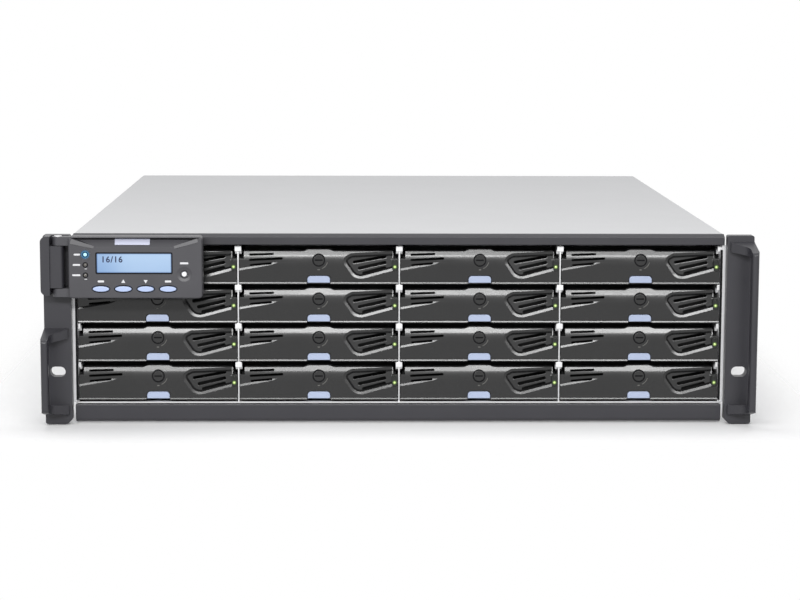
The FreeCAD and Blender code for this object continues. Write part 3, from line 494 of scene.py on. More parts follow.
class Workpiece:
    """A mesh piece under construction, shaped with Blender's own modelling operators."""

    def __init__(self, obj: bpy.types.Object, name: str) -> None:
        """Takes over an object and names it and its mesh.

        Args:
            obj: The object.
            name: Its new name.
        """
        self.obj = obj
        obj.name = name
        obj.data.name = name

    @staticmethod
    def alone(obj: Optional[bpy.types.Object] = None) -> None:
        """Deselects everything, then selects and activates one object.

        Args:
            obj: The object, if one is wanted.
        """
        bpy.ops.object.select_all(action="DESELECT")
        if obj is not None:
            obj.select_set(True)
            bpy.context.view_layer.objects.active = obj

    @classmethod
    def take(cls, name: str) -> "Workpiece":
        """Takes over the primitive just added, with its place moved into its mesh."""
        bpy.ops.object.transform_apply(location=True, rotation=True, scale=True)
        return cls(bpy.context.active_object, name)

    @classmethod
    def block(cls, name: str, low: Vector, high: Vector) -> "Workpiece":
        """Box between two corners.

        Args:
            name: The piece's name.
            low: Its lower corner.
            high: Its upper corner.

        Returns:
            The new piece.
        """
        cls.alone()
        bpy.ops.mesh.primitive_cube_add(size=1.0, location=(low + high) / 2, scale=high - low)
        return cls.take(name)

    @classmethod
    def rod(cls, name: str, radius: float, start: Vector, length: float, axis: Axis,
            sides: int = 48) -> "Workpiece":
        """Round bar.

        Args:
            name: The piece's name.
            radius: Its radius.
            start: Middle of its first end.
            length: Its length along the axis.
            axis: The way it runs.
            sides: Flat sides round it.

        Returns:
            The new piece.
        """
        cls.alone()
        ahead = Vector([length if a is axis else 0.0 for a in Axis])
        turn = {Axis.X: (0, math.pi / 2, 0), Axis.Y: (math.pi / 2, 0, 0), Axis.Z: (0, 0, 0)}[axis]
        bpy.ops.mesh.primitive_cylinder_add(vertices=sides, radius=radius, depth=length,
                                            location=start + ahead / 2, rotation=turn)
        return cls.take(name)

    @classmethod
    def of_node(cls, name: str, node: str) -> "Workpiece":
        """Copy of a CAD node with its triangles merged into whole faces.

        Args:
            name: The copy's name.
            node: The CAD node.

        Returns:
            The new piece.
        """
        obj = bpy.data.objects.new(name, frame["nodes"][node].data.copy())
        bpy.context.scene.collection.objects.link(obj)
        flat = math.radians(0.5)
        piece = cls(obj, name).merge()
        return piece.edit(Pick.FACE, anywhere, lambda: bpy.ops.mesh.dissolve_limited(angle_limit=flat))

    def edit(self, kind: Pick, test: Test, operator: Callable[[], object]) -> "Workpiece":
        """Selects elements by their place and direction and runs an edit-mode operator on them.

        Args:
            kind: Whether vertices, edges or faces are picked.
            test: Told an element's middle and its normal or direction, says whether it is picked.
            operator: The operator to run.

        Returns:
            This piece.
        """
        mesh = self.obj.data
        for group in (mesh.vertices, mesh.edges, mesh.polygons):
            group.foreach_set("select", [False] * len(group))
        points = mesh.vertices
        if kind is Pick.VERTEX:
            for vertex in points:
                vertex.select = test(vertex.co, vertex.normal)
        elif kind is Pick.EDGE:
            for edge in mesh.edges:
                a, b = (points[i].co for i in edge.vertices)
                edge.select = test((a + b) / 2, (b - a).normalized())
        else:
            for face in mesh.polygons:
                face.select = test(face.center, face.normal)
        bpy.context.tool_settings.mesh_select_mode = [kind is choice for choice in Pick]
        self.alone(self.obj)
        bpy.ops.object.mode_set(mode="EDIT")
        operator()
        bpy.ops.object.mode_set(mode="OBJECT")
        return self

    def merge(self) -> "Workpiece":
        """Merges points that lie on one another."""
        return self.edit(Pick.VERTEX, anywhere, lambda: bpy.ops.mesh.remove_doubles(threshold=MERGE))

    def extrude(self, test: Test, move: Vector) -> "Workpiece":
        """Pulls the picked faces out by a move."""
        return self.edit(Pick.FACE, test, lambda: bpy.ops.mesh.extrude_region_move(
            TRANSFORM_OT_translate={"value": move}))

    def inset(self, test: Test, width: float, depth: float = 0.0) -> "Workpiece":
        """Insets the picked faces, and sinks or raises them by a depth."""
        return self.edit(Pick.FACE, test, lambda: bpy.ops.mesh.inset(thickness=width, depth=depth))

    def shift(self, test: Test, move: Vector) -> "Workpiece":
        """Moves the picked vertices."""
        return self.edit(Pick.VERTEX, test, lambda: bpy.ops.transform.translate(value=move))

    def round_edges(self, test: Test, width: float, segments: int) -> "Workpiece":
        """Bevels the picked edges into a round."""
        return self.edit(Pick.EDGE, test, lambda: bpy.ops.mesh.bevel(
            offset=width, segments=segments, affect="EDGES", profile=0.5))

    def round_outline(self, width: float, segments: int) -> "Workpiece":
        """Rounds the edges that run from the front to the back."""
        return self.round_edges(front_to_back, width, segments)

    def round_front(self, width: float, segments: int) -> "Workpiece":
        """Rounds the edges of the foremost face."""
        front = min(vertex.co.y for vertex in self.obj.data.vertices)
        return self.round_edges(lambda place, way: place.y < front + NEAR, width, segments)

    def slice(self, point: Vector, normal: Vector) -> "Workpiece":
        """Cuts away what lies on the normal's side of a plane and closes the cut."""
        return self.edit(Pick.FACE, anywhere, lambda: bpy.ops.mesh.bisect(
            plane_co=point, plane_no=normal.normalized(), use_fill=True, clear_outer=True))

    def split(self, point: Vector) -> "Workpiece":
        """Cuts every face along the upright plane across the X axis through a point."""
        return self.edit(Pick.FACE, anywhere, lambda: bpy.ops.mesh.bisect(
            plane_co=point, plane_no=(1, 0, 0)))

    def sweep(self, test: Test, centre: Vector, axis: Vector, angle: float, steps: int) -> "Workpiece":
        """Spins the picked faces round an axis.

        Args:
            test: Picks the faces.
            centre: A point on the axis.
            axis: The axis's direction.
            angle: How far they turn, in radians.
            steps: Number of steps.

        Returns:
            This piece.
        """
        self.edit(Pick.FACE, test, lambda: bpy.ops.mesh.spin(
            steps=steps, angle=angle, center=centre, axis=axis))
        self.merge()
        return self.edit(Pick.FACE, anywhere, lambda: bpy.ops.mesh.normals_make_consistent(inside=False))

    def place(self, change: Matrix) -> "Workpiece":
        """Moves, turns or scales the whole mesh."""
        self.obj.data.transform(change)
        return self

    def turn(self, angle: float, axis: Axis, centre: Vector) -> "Workpiece":
        """Turns the whole mesh about a point."""
        turned = Matrix.Rotation(angle, 4, axis.name)
        return self.place(Matrix.Translation(centre) @ turned @ Matrix.Translation(-centre))

    def lay(self, start: Vector, end: Vector) -> "Workpiece":
        """Lays a piece modelled along X about the origin between two points of an upright plane.

        Args:
            start: Where its left end comes to lie.
            end: Where its right end comes to lie.

        Returns:
            This piece.
        """
        rise = end - start
        self.turn(-math.atan2(rise.z, rise.x), Axis.Y, Vector())
        return self.place(Matrix.Translation((start + end) / 2))

    def modify(self, kind: str, **settings: object) -> "Workpiece":
        """Adds a modifier and applies it.

        Args:
            kind: The modifier's type.
            **settings: Its settings.

        Returns:
            This piece.
        """
        self.alone(self.obj)
        modifier = self.obj.modifiers.new(kind.lower(), kind)
        for key, value in settings.items():
            setattr(modifier, key, value)
        bpy.ops.object.modifier_apply(modifier=modifier.name)
        return self

    def combine(self, how: Combine, *others: "Workpiece") -> "Workpiece":
        """Works other pieces into this one, one after the other, and uses them up.

        Args:
            how: Whether they are added or cut away.
            *others: The other pieces.

        Returns:
            This piece.
        """
        for other in others:
            self.modify("BOOLEAN", operation=how.value, object=other.obj, solver="EXACT")
            other.discard()
        return self.merge()

    def join(self, *others: "Workpiece") -> "Workpiece":
        """Takes other pieces into this one's mesh as they are.

        Args:
            *others: The other pieces.

        Returns:
            This piece.
        """
        self.alone(self.obj)
        for other in others:
            other.obj.select_set(True)
        bpy.ops.object.join()
        return self

    def soften(self, width: float, segments: int = 2, angle: float = 35.0) -> "Workpiece":
        """Rounds every edge sharper than an angle."""
        return self.modify("BEVEL", width=width, segments=segments, limit_method="ANGLE",
                           angle_limit=math.radians(angle))

    def smooth(self, angle: float = 32.0) -> "Workpiece":
        """Shades smooth across edges flatter than an angle, with large flat faces kept flat.

        Args:
            angle: The angle in degrees.

        Returns:
            This piece.
        """
        self.alone(self.obj)
        bpy.ops.object.shade_smooth_by_angle(angle=math.radians(angle))
        return self.modify("WEIGHTED_NORMAL", mode="FACE_AREA", weight=80, keep_sharp=True)

    def copy(self, name: str, move: Vector) -> "Workpiece":
        """Copy with a mesh of its own, moved into place.

        Args:
            name: The copy's name.
            move: How far it is moved.

        Returns:
            The copy.
        """
        obj = bpy.data.objects.new(name, self.obj.data.copy())
        bpy.context.scene.collection.objects.link(obj)
        return Workpiece(obj, name).place(Matrix.Translation(move))

    def discard(self) -> None:
        """Deletes a piece that is used up."""
        bpy.data.objects.remove(self.obj)

    def dress(self, body: str, material: Material, slot: str, *replaced: str) -> None:
        """Gives the piece its finish and the body it moves with.

        Args:
            body: CAD body that it rides on.
            material: Its finish.
            slot: The record's material slot; not used.
            *replaced: CAD nodes that it stands for.
        """
        self.obj.data.materials.clear()
        self.obj.data.materials.append(material)
        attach(self.obj, body)
        if replaced:
            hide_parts(*replaced)
        log.info("piece %s on %s", self.obj.name, body)


def body_of_node(node: str) -> str:
    """The CAD body that a node belongs to."""
    bodies = frame["record"]["behaviour"]["bodies"]
    return next(body for body, nodes in bodies.items() if node in nodes)


def paint_node(node: str, material: Material) -> None:
    """Gives a CAD node's own object a finish.

    Args:
        node: The CAD node.
        material: Its finish.
    """
    obj = frame["nodes"][node]
    if not obj.material_slots:
        obj.data.materials.append(material)
    for material_slot in obj.material_slots:
        material_slot.material = material
    log.info("node %s painted %s", node, material.name)


def dress_copy(node: str, material: Material, slot: str, width: float, segments: int = 2) -> None:
    """Replaces a CAD node by a copy with softened edges.

    Args:
        node: The CAD node.
        material: Its finish.
        slot: The record's material slot.
        width: Width of the rounds on its edges; 0 leaves them sharp.
        segments: Facets of each round.
    """
    piece = Workpiece.of_node(node + "_dressed", node)
    if width:
        piece.soften(width, segments)
    piece.smooth().dress(body_of_node(node), material, slot, node)


def made(finish: Union[MouldedPlastic, SheetMetal, Lens]) -> Material:
    """Field that holds the material of a finish."""
    return field(default_factory=finish.make)


@dataclass(frozen=True)
class Finishes:
    """Plain finishes of the array, each made once."""

    flap: Material = made(MouldedPlastic("flap_plastic", (0.013, 0.013, 0.0132), 0.2, depth=0.0008 * MM))
    black: Material = made(MouldedPlastic("black_plastic", (0.024, 0.0235, 0.0285), 0.38))
    panel: Material = made(MouldedPlastic("panel_plastic", (0.050, 0.049, 0.055), 0.42))
    zinc: Material = made(SheetMetal("zinc_steel", (0.82, 0.82, 0.83), 0.36, Axis.Z, metallic=0.5))
    cover: Material = made(SheetMetal("silver_cover", (0.60, 0.602, 0.61), 0.66, Axis.Y, metallic=0.15))
    button: Material = made(MouldedPlastic("button_plastic", (0.39, 0.45, 0.60), 0.36, mottle=0.04))
    key: Material = made(MouldedPlastic("key_plastic", (0.44, 0.53, 0.77), 0.34, mottle=0.04))
    white: Material = made(MouldedPlastic("white_plastic", (0.84, 0.84, 0.86), 0.35, mottle=0.03))
    ink: Material = made(MouldedPlastic("printed_marks", (0.68, 0.68, 0.70), 0.6, mottle=0.05))
    # Near-black rubber: real on gaskets, rings and switches; painted shade where it fills the gaps beside the
    # outer trays, round the keys and in the lock's key slot.
    gasket_and_shade: Material = made(MouldedPlastic("rubber_gasket", (0.005, 0.005, 0.006), 0.7, specular=0.15))
    plate: Material = made(SheetMetal("blank_plate", (0.60, 0.62, 0.76), 0.32, Axis.X, metallic=0.3))
    board: Material = made(MouldedPlastic("circuit_board", (0.01, 0.09, 0.035), 0.35))
    smoke: Material = made(MouldedPlastic("smoked_lens", (0.004, 0.005, 0.004), 0.3, mottle=0.05))
    faint: Material = made(MouldedPlastic("faint_marks", (0.10, 0.098, 0.09), 0.5))
    spill: Material = made(Lens("green_spill", (0.01, 0.02, 0.004), (0.10, 0.20, 0.02), 1.0))
    green: Material = made(Lens("green_lamp", (0.30, 0.42, 0.12), (0.74, 0.86, 0.36), 0.75))
    blue: Material = made(Lens("blue_lamp", (0.2, 0.35, 0.4), (0.50, 0.85, 1.0), 0.95))
    dull: Material = made(Lens("dull_lamp", (0.10, 0.09, 0.08)))


@dataclass
class TrayFlap:
    """Hinged front flap of a drive tray, modelled once about its own corner and copied to every bay.

    Sizes are in millimetres: x from the flap's middle, y back from its face, z up from its lower edge.
    """

    half: float = 54.15
    high: float = 22.8
    wall: float = 2.4
    deep: float = 7.0
    crown_high: float = 6.6
    crown_lean: float = 2.1
    crown_bend: float = 3.9
    crown_thin: float = 0.4
    brow_round: float = 0.6
    lip: float = 0.8
    bar_root: float = 0.9
    notch_wide: float = 3.2
    notch_high: float = 5.4
    hump: Tuple[Pair, ...] = ((11.2, 0.0), (9.9, 0.14), (8.8, 0.6), (7.7, 1.06), (6.4, 1.2))
    scoop: Tuple[Pair, ...] = ((22.4, 21.2), (14.7, 17.4), (25.0, 2.35), (56.0, 10.6), (56.0, 22.8))
    scoop_rounds: Pair = (5.4, 5.8)
    scoop_end: float = 50.4
    scoop_rings: Tuple[Pair, ...] = ((1.75, 0.31), (0.7, 0.8), (0.4, 0.65), (0.25, 0.3))
    scoop_lean: float = -7.4
    scoop_turn_z: float = 4.0
    pan_left: float = 12.6
    pan_low: float = 1.5
    pan_thick: float = 1.4
    pan_bite: float = 0.6
    pan_rise: float = 0.4
    pan_skin: float = 0.8
    crease_edge_z: float = 9.2
    crease_knee: Pair = (-32.0, 13.2)
    crease_tip: Pair = (-19.0, 16.9)
    crease_deep: float = 0.42
    crease_slope: float = 1.25
    vent_deep: float = 9.0
    vent_round: float = 0.4
    sill_fall: float = 0.1
    sill_ahead: float = 0.3
    lock_z: float = 16.4
    lock_r: float = 3.7
    lock_proud: float = 0.15
    lock_deep: float = 4.0
    lock_gap: float = 0.75
    slot_half: Pair = (2.7, 0.5)
    collar_wide: float = 0.7
    collar_front: float = 0.2
    collar_deep: float = 3.2
    mark_proud: float = 0.05
    arc_radii: Pair = (5.9, 6.35)
    arc_start: float = 14.0
    arc_sweep: float = -52.0
    button_half: float = 7.7
    button_low: float = 0.9
    button_top: float = 5.6
    button_proud: float = 0.7
    button_deep: float = 3.6
    button_gap: float = 0.4
    lamp_x: float = 52.0
    lamp_z: float = 11.8
    lamp_pitch: float = 3.7
    lamp_proud: float = 0.25
    lamp_r: float = 0.75
    unlit_r: float = 0.7
    glow_r: float = 1.35
    window_half: float = 1.75
    window_low: float = 8.8
    window_top: float = 17.0
    window_deep: float = 0.7
    window_round: float = 1.6
    web_thick: float = 1.6
    web_front: float = 3.6
    web_low: float = 3.0
    web_back: float = 2.2
    web_round: float = 1.8
    pin_r: float = 1.0
    pin_root: float = 0.5
    pin_out: float = 1.95

    @property
    def crown_z(self) -> float:
        """Height at which the face turns into the leaning crown."""
        return self.high - self.crown_high

    @property
    def crown_way(self) -> Vector:
        """Direction that the crown's face looks in."""
        return Vector((0, -self.crown_high, self.crown_lean))

    @property
    def inner(self) -> float:
        """Half width between the notches."""
        return self.half - self.notch_wide

    @property
    def scoop_floor(self) -> float:
        """Depth of the scoop before it is leant back."""
        return sum(fall for _, fall in self.scoop_rings)

    def shell(self) -> Workpiece:
        """Front shell with its crown, hump, lip, scoop, crease, vents and pockets.

        Returns:
            The shell.
        """
        body = Workpiece.block("flap_shell", mm(-self.half, 0, 0), mm(self.half, self.deep, self.high))
        body.slice(mm(0, 0, self.crown_z), self.crown_way)
        self.raise_hump(body)
        self.round_crown(body)
        body.combine(Combine.CUT, self.hollow())
        lower_bar = self.bar(low=0.5, high=1.25, proud=self.lip, top=0.56)
        upper_bar = self.bar(low=2.25, high=2.4, proud=0.12, top=0.0)
        body.combine(Combine.ADD, lower_bar, upper_bar, self.pan())
        body.combine(Combine.CUT, self.scoop_cutter(), self.crease(), *self.vents(), *self.pockets())
        body.join(*self.webs())
        return body.smooth(angle=12)

    def raise_hump(self, body: Workpiece) -> None:
        """Lifts the middle of the crown's top in a soft swelling, along the slope of the crown.

        Args:
            body: The shell.
        """
        for x, _ in self.hump:
            body.split(mm(x, 0, 0)).split(mm(-x, 0, 0))
        slope = self.crown_lean / self.crown_high
        top, between, apart = (self.high - 0.1) * MM, 5 * MM, 0.05 * MM
        for x, rise in self.hump:
            on_line = lambda place: abs(abs(place.x) - x * MM) < apart and place.z > top
            body.shift(lambda place, way: on_line(place) and place.y < between, mm(0, rise * slope, rise))
            body.shift(lambda place, way: on_line(place) and place.y > between, mm(0, 0, rise))

    def round_crown(self, body: Workpiece) -> None:
        """Rounds the bend at the crown's foot and the edge along its top.

        Args:
            body: The shell.
        """
        top = (self.high - 0.1) * MM
        bend = lambda place, way: abs(way.x) > ALONG and place.y < 0.1 * MM and place.z > 10 * MM
        brow = lambda place, way: abs(way.x) > 0.6 and 2 * MM < place.y < 5 * MM and place.z > top
        body.round_edges(bend, self.crown_bend * MM, 14)
        body.round_edges(brow, self.brow_round * MM, 3)

    def hollow(self) -> Workpiece:
        """Cutter of the shell's open back.

        Returns:
            The cutter.
        """
        inner_top = self.high - self.wall
        back = self.crown_lean + self.wall / 2
        side = self.half + OVER
        cutter = Workpiece.block("hollow", mm(-side, self.wall, -OVER), mm(side, self.deep + OVER, inner_top))
        foot = self.crown_z - self.crown_thin
        return cutter.slice(mm(0, self.wall, foot), Vector((0, foot - inner_top, back - self.wall)))

    def bar(self, low: float, high: float, proud: float, top: float) -> Workpiece:
        """Bar along the lower edge whose upper side is a chamfer that catches the light.

        Args:
            low: Height at which the chamfer starts.
            high: Height at which it ends.
            proud: How far the bar stands out below the chamfer.
            top: How far it stands out above it.

        Returns:
            The bar.
        """
        bar = Workpiece.block("bar", mm(-self.half, -proud, 0), mm(self.half, self.bar_root, high))
        return bar.slice(mm(0, -proud, low), Vector((0, low - high, proud - top)))

    def pan(self) -> Workpiece:
        """Backing behind the scoop, leaning with it.

        Returns:
            The backing.
        """
        front, top = self.wall - self.pan_bite, self.high - self.wall + self.pan_rise
        pan = Workpiece.block("pan", mm(self.pan_left, front, self.pan_low), mm(self.inner, self.deep, top))
        pan.slice(mm(0, self.pan_skin, self.crown_z), self.crown_way)
        lean = math.radians(-self.scoop_lean)
        behind = mm(0, self.scoop_floor + self.pan_thick, self.scoop_turn_z)
        return pan.slice(behind, Vector((0, math.cos(lean), -math.sin(lean))))

    def scoop_cutter(self) -> Workpiece:
        """Finger scoop: a wing-shaped dish with rounded corners, leaning back with the crown.

        Returns:
            The cutter.
        """
        cutter = Workpiece.block("scoop", mm(10, -2.4, 0), mm(60, 0, self.high + 2))
        for start, end in zip(self.scoop, self.scoop[1:] + self.scoop[:1]):
            cutter.slice(mm(start[0], 0, start[1]), Vector((end[1] - start[1], 0, start[0] - end[0])))
        for (x, z), width in zip(self.scoop[1:3], self.scoop_rounds):
            corner = mm(x, 0, z)
            near = lambda place, way: abs(way.y) > ALONG and (place - corner).xz.length < 0.3 * MM
            cutter.round_edges(near, width * MM, 10)
        for run, fall in self.scoop_rings:
            cutter.inset(lambda place, normal: normal.y > 0.995, run * MM, fall * MM)
        return self.lean(cutter.slice(mm(self.scoop_end, 0, 0), Vector((1, 0, 0))))

    def lean(self, piece: Workpiece) -> Workpiece:
        """Leans a piece of the scoop back."""
        return piece.turn(math.radians(self.scoop_lean), Axis.X, mm(0, 0, self.scoop_turn_z))

    def crease(self) -> Workpiece:
        """Shallow fall-away on the left, with a sloping ledge that fades out.

        Returns:
            The cutter.
        """
        edge, knee, tip = (-self.half - OVER, self.crease_edge_z), self.crease_knee, self.crease_tip
        deep = self.crease_deep
        cutter = Workpiece.block("crease", mm(edge[0], -OVER, 6), mm(tip[0], deep, self.high + 2))
        cutter.slice(mm(tip[0], 0, 0), Vector((deep, tip[0] - knee[0], 0)))
        for start, end in ((edge, knee), (knee, tip)):
            along = Vector((end[0] - start[0], 0, end[1] - start[1])).normalized()
            down = Vector((along.z, 0, -along.x))
            cutter.slice(mm(start[0], 0, start[1]), down * deep + Vector((0, 1, 0)) * self.crease_slope)
        return cutter

    def vents(self) -> List[Workpiece]:
        """Slots: three on the left, and three with a sloping sill in the scoop.

        Returns:
            Their cutters.
        """
        left = [self.vent((-47.4, 20.0), (-30.6, 20.5), 1.5),
                self.vent((-47.4, 16.5), (-24.5, 17.6), 1.6),
                self.vent((-46.9, 12.9), (-32.0, 14.2), 1.5)]
        right = [self.vent((23.4, 14.9), (46.2, 18.9), 2.1, sill=0.6),
                 self.vent((26.8, 10.7), (46.2, 15.0), 2.3, sill=0.6),
                 self.vent((29.8, 6.9), (46.2, 11.2), 2.9, sill=0.0)]
        return left + [self.lean(vent) for vent in right]

    def vent(self, start: Pair, end: Pair, wide: float, sill: Optional[float] = None) -> Workpiece:
        """Cutter of one slot.

        Args:
            start: Its left end (x, z).
            end: Its right end.
            wide: Its width.
            sill: Height of its sloping sill on the scoop's floor; none for a slot in the face.

        Returns:
            The cutter.
        """
        half, ahead = math.dist(start, end) / 2, self.sill_ahead
        front = -OVER if sill is None else self.scoop_floor + self.sill_fall
        back = front + self.vent_deep
        cutter = Workpiece.block("vent", mm(-half, front, -wide / 2), mm(half, back, wide / 2))
        cutter.round_outline(wide * self.vent_round * MM, 3)
        if sill is not None:
            cutter.extrude(lambda place, normal: normal.y < -ALONG, mm(0, -ahead, 0))
            lower = lambda place, normal: place.y < (front - ahead / 2) * MM and place.z < 0
            cutter.shift(lower, mm(0, 0, -sill * ahead / self.sill_fall))
        return cutter.lay(mm(start[0], 0, start[1]), mm(end[0], 0, end[1]))

    def pockets(self) -> List[Workpiece]:
        """Notches for the catch tabs, the button's pocket, the lock's ring and the lamps' window.

        Returns:
            Their cutters.
        """
        foot, side = self.high - self.notch_high, self.half + OVER
        right = Workpiece.block("notch", mm(self.scoop_end - 0.05, -2, foot), mm(side, 14, 30))
        left = Workpiece.block("notch", mm(-side, -2, foot), mm(-self.inner, 14, 30))
        reach = self.button_half + self.button_gap
        button = Workpiece.block("pocket", mm(-reach, -2, -OVER), mm(reach, 6, self.button_top + 0.45))
        button.round_edges(lambda place, way: abs(way.y) > ALONG and place.z > 0, 2.7 * MM, 6)
        ring_r = (self.lock_r + self.lock_gap) * MM
        lock = Workpiece.rod("ring", ring_r, mm(0, -OVER, self.lock_z), 2.9 * MM, Axis.Y)
        window = Workpiece.block("window", mm(self.lamp_x - self.window_half, -OVER, self.window_low),
                                 mm(self.lamp_x + self.window_half, self.window_deep, self.window_top))
        window.round_outline(self.window_round * MM, 6)
        return [right, left, button, lock, window]

    def webs(self) -> List[Workpiece]:
        """Pivot webs behind both ends of the shell, with their pins.

        Returns:
            The webs and pins.
        """
        pieces = []
        axis_z = self.high - self.deep
        for way in (-1, 1):
            near, far = sorted((way * (self.inner - self.web_thick), way * (self.inner - 0.02)))
            web = Workpiece.block("web", mm(near, self.web_front, self.web_low),
                                  mm(far, self.deep + self.web_back, self.high - 1.0))
            web.slice(mm(0, self.web_front, self.crown_z), self.crown_way)
            back_corner = lambda place, along: abs(along.x) > ALONG and place.y > 8 * MM
            web.round_edges(back_corner, self.web_round * MM, 4)
            start = min(way * (self.inner - self.pin_root), way * (self.inner + self.pin_out))
            pin = Workpiece.rod("pin", self.pin_r * MM, mm(start, self.deep, axis_z),
                                (self.pin_root + self.pin_out) * MM, Axis.X, 20)
            pin.round_edges(lambda place, along: abs(along.x) < 0.1, 0.1 * MM, 2)
            pieces += [web, pin]
        return pieces

    def lock(self) -> Workpiece:
        """Turn lock with a slot for a flat key.

        Returns:
            The lock.
        """
        front = mm(0, -self.lock_proud, self.lock_z)
        plug = Workpiece.rod("flap_lock", self.lock_r * MM, front, self.lock_deep * MM, Axis.Y)
        plug.round_front(0.45 * MM, 3)
        x, z = self.slot_half
        slot = Workpiece.block("slot", mm(-x, -0.9, self.lock_z - z), mm(x, 1.8, self.lock_z + z))
        slot.round_outline(0.35 * MM, 2)
        return plug.combine(Combine.CUT, slot).smooth()

    def collar(self) -> Workpiece:
        """Dark ring round the lock, level with it where the crown falls away, and a near-black floor in its
        key slot, painted shade for the slot's depth.

        Returns:
            The ring.
        """
        outer, inner = self.lock_r + self.collar_wide, self.lock_r + 0.05
        front = mm(0, self.collar_front, self.lock_z)
        ring = Workpiece.rod("flap_collar", outer * MM, front, self.collar_deep * MM, Axis.Y)
        ring.round_front(0.2 * MM, 2)
        hole = Workpiece.rod("hole", inner * MM, mm(0, -1, self.lock_z), 6.0 * MM, Axis.Y)
        x, z = self.slot_half[0] - 0.05, self.slot_half[1] - 0.02
        # painted shade: a near-black block inside the key slot stands for the shade deep in the slot
        floor = Workpiece.block("floor", mm(-x, 0.5, self.lock_z - z), mm(x, 1.5, self.lock_z + z))
        return ring.combine(Combine.CUT, hole).join(floor).smooth()

    def marks(self) -> Workpiece:
        """Faint printed arc and dash that show the lock's way.

        Returns:
            The marks.
        """
        centre, front, back = mm(0, 0, self.lock_z), -self.mark_proud, 0.3
        inner, outer = self.arc_radii
        arc = Workpiece.block("flap_marks", mm(inner, front, self.lock_z - 0.3), mm(outer, back, self.lock_z))
        arc.turn(math.radians(self.arc_start), Axis.Y, centre)
        tip = max(arc.obj.data.polygons, key=lambda face: -face.normal.z).normal.copy()
        arc.sweep(lambda place, normal: normal.dot(tip) > 0.99, centre, Vector((0, 1, 0)),
                  math.radians(self.arc_sweep), 12)
        dash = Workpiece.block("dash", mm(-0.8, front, self.lock_z - 6.9), mm(0.8, back, self.lock_z - 6.2))
        dash.round_outline(0.2 * MM, 2)
        return arc.join(dash)

    def button(self) -> Workpiece:
        """Release button with rounded shoulders and a shallow step round its face.

        Returns:
            The button.
        """
        cap = Workpiece.block("flap_button", mm(-self.button_half, -self.button_proud, self.button_low),
                              mm(self.button_half, self.button_deep, self.button_top))
        cap.round_edges(lambda place, way: abs(way.y) > ALONG and place.z > 3 * MM, 2.4 * MM, 7)
        cap.round_front(0.4 * MM, 3)
        facing = lambda place, normal: normal.y < -0.98
        inner = lambda place, normal: abs(place.x) < 0.3 * MM and place.z > 2.5 * MM
        cap.inset(facing, 0.55 * MM)
        cap.inset(lambda place, normal: facing(place, normal) and inner(place, normal), 0.18 * MM, -0.14 * MM)
        return cap.smooth()

    def window(self) -> Workpiece:
        """Smoked window over the two lamps, with the unlit one under it.

        Returns:
            The window.
        """
        gap = 0.05
        half = self.window_half - gap
        pane = Workpiece.block("flap_window", mm(self.lamp_x - half, 0.15, self.window_low + gap),
                               mm(self.lamp_x + half, 0.69, self.window_top - gap))
        pane.round_outline(self.window_round * MM, 6).round_front(0.2 * MM, 2)
        return pane.join(self.dome("unlit", self.unlit_r, self.lamp_z + self.lamp_pitch)).smooth()

    def dome(self, name: str, radius: float, z: float) -> Workpiece:
        """Low round lamp on the window."""
        dome = Workpiece.rod(name, radius * MM, mm(self.lamp_x, -self.lamp_proud, z), 0.6 * MM, Axis.Y, 24)
        return dome.round_front(0.35 * MM, 3)

    def glow(self) -> Workpiece:
        """Ring of light on the window round the lit lamp.

        Returns:
            The ring.
        """
        front = mm(self.lamp_x, 0.08, self.lamp_z)
        ring = Workpiece.rod("flap_glow", self.glow_r * MM, front, 0.3 * MM, Axis.Y, 32)
        return ring.round_front(0.05 * MM, 1)

    def place_all(self, look: Finishes) -> None:
        """Models the flap and copies it to every bay.

        Args:
            look: The finishes.
        """
        lamp = self.dome("flap_lamp", self.lamp_r, self.lamp_z).smooth()
        patterns = {"shell": (self.shell(), look.flap, "flap_plastic"),
                    "lock": (self.lock(), look.flap, "flap_plastic"),
                    "collar": (self.collar(), look.gasket_and_shade, "black_plastic"),
                    "marks": (self.marks(), look.faint, "flap_plastic"),
                    "button": (self.button(), look.button, "key_plastic"),
                    "window": (self.window(), look.smoke, "lamp_lens"),
                    "glow": (self.glow(), look.spill, "lamp_lens"),
                    "lamp": (lamp, look.green, "lamp_lens")}
        for bay in bays():
            node = "tray_flap_" + bay
            low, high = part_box(node)
            move = Vector(((low.x + high.x) / 2, low.y + self.lip * MM, low.z))
            for part, (pattern, material, slot) in patterns.items():
                piece = pattern.copy("flap_%s_%s" % (bay, part), move)
                piece.dress(body_of_node(node), material, slot, *([node] if part == "shell" else []))
        for pattern, _, _ in patterns.values():
            pattern.discard()


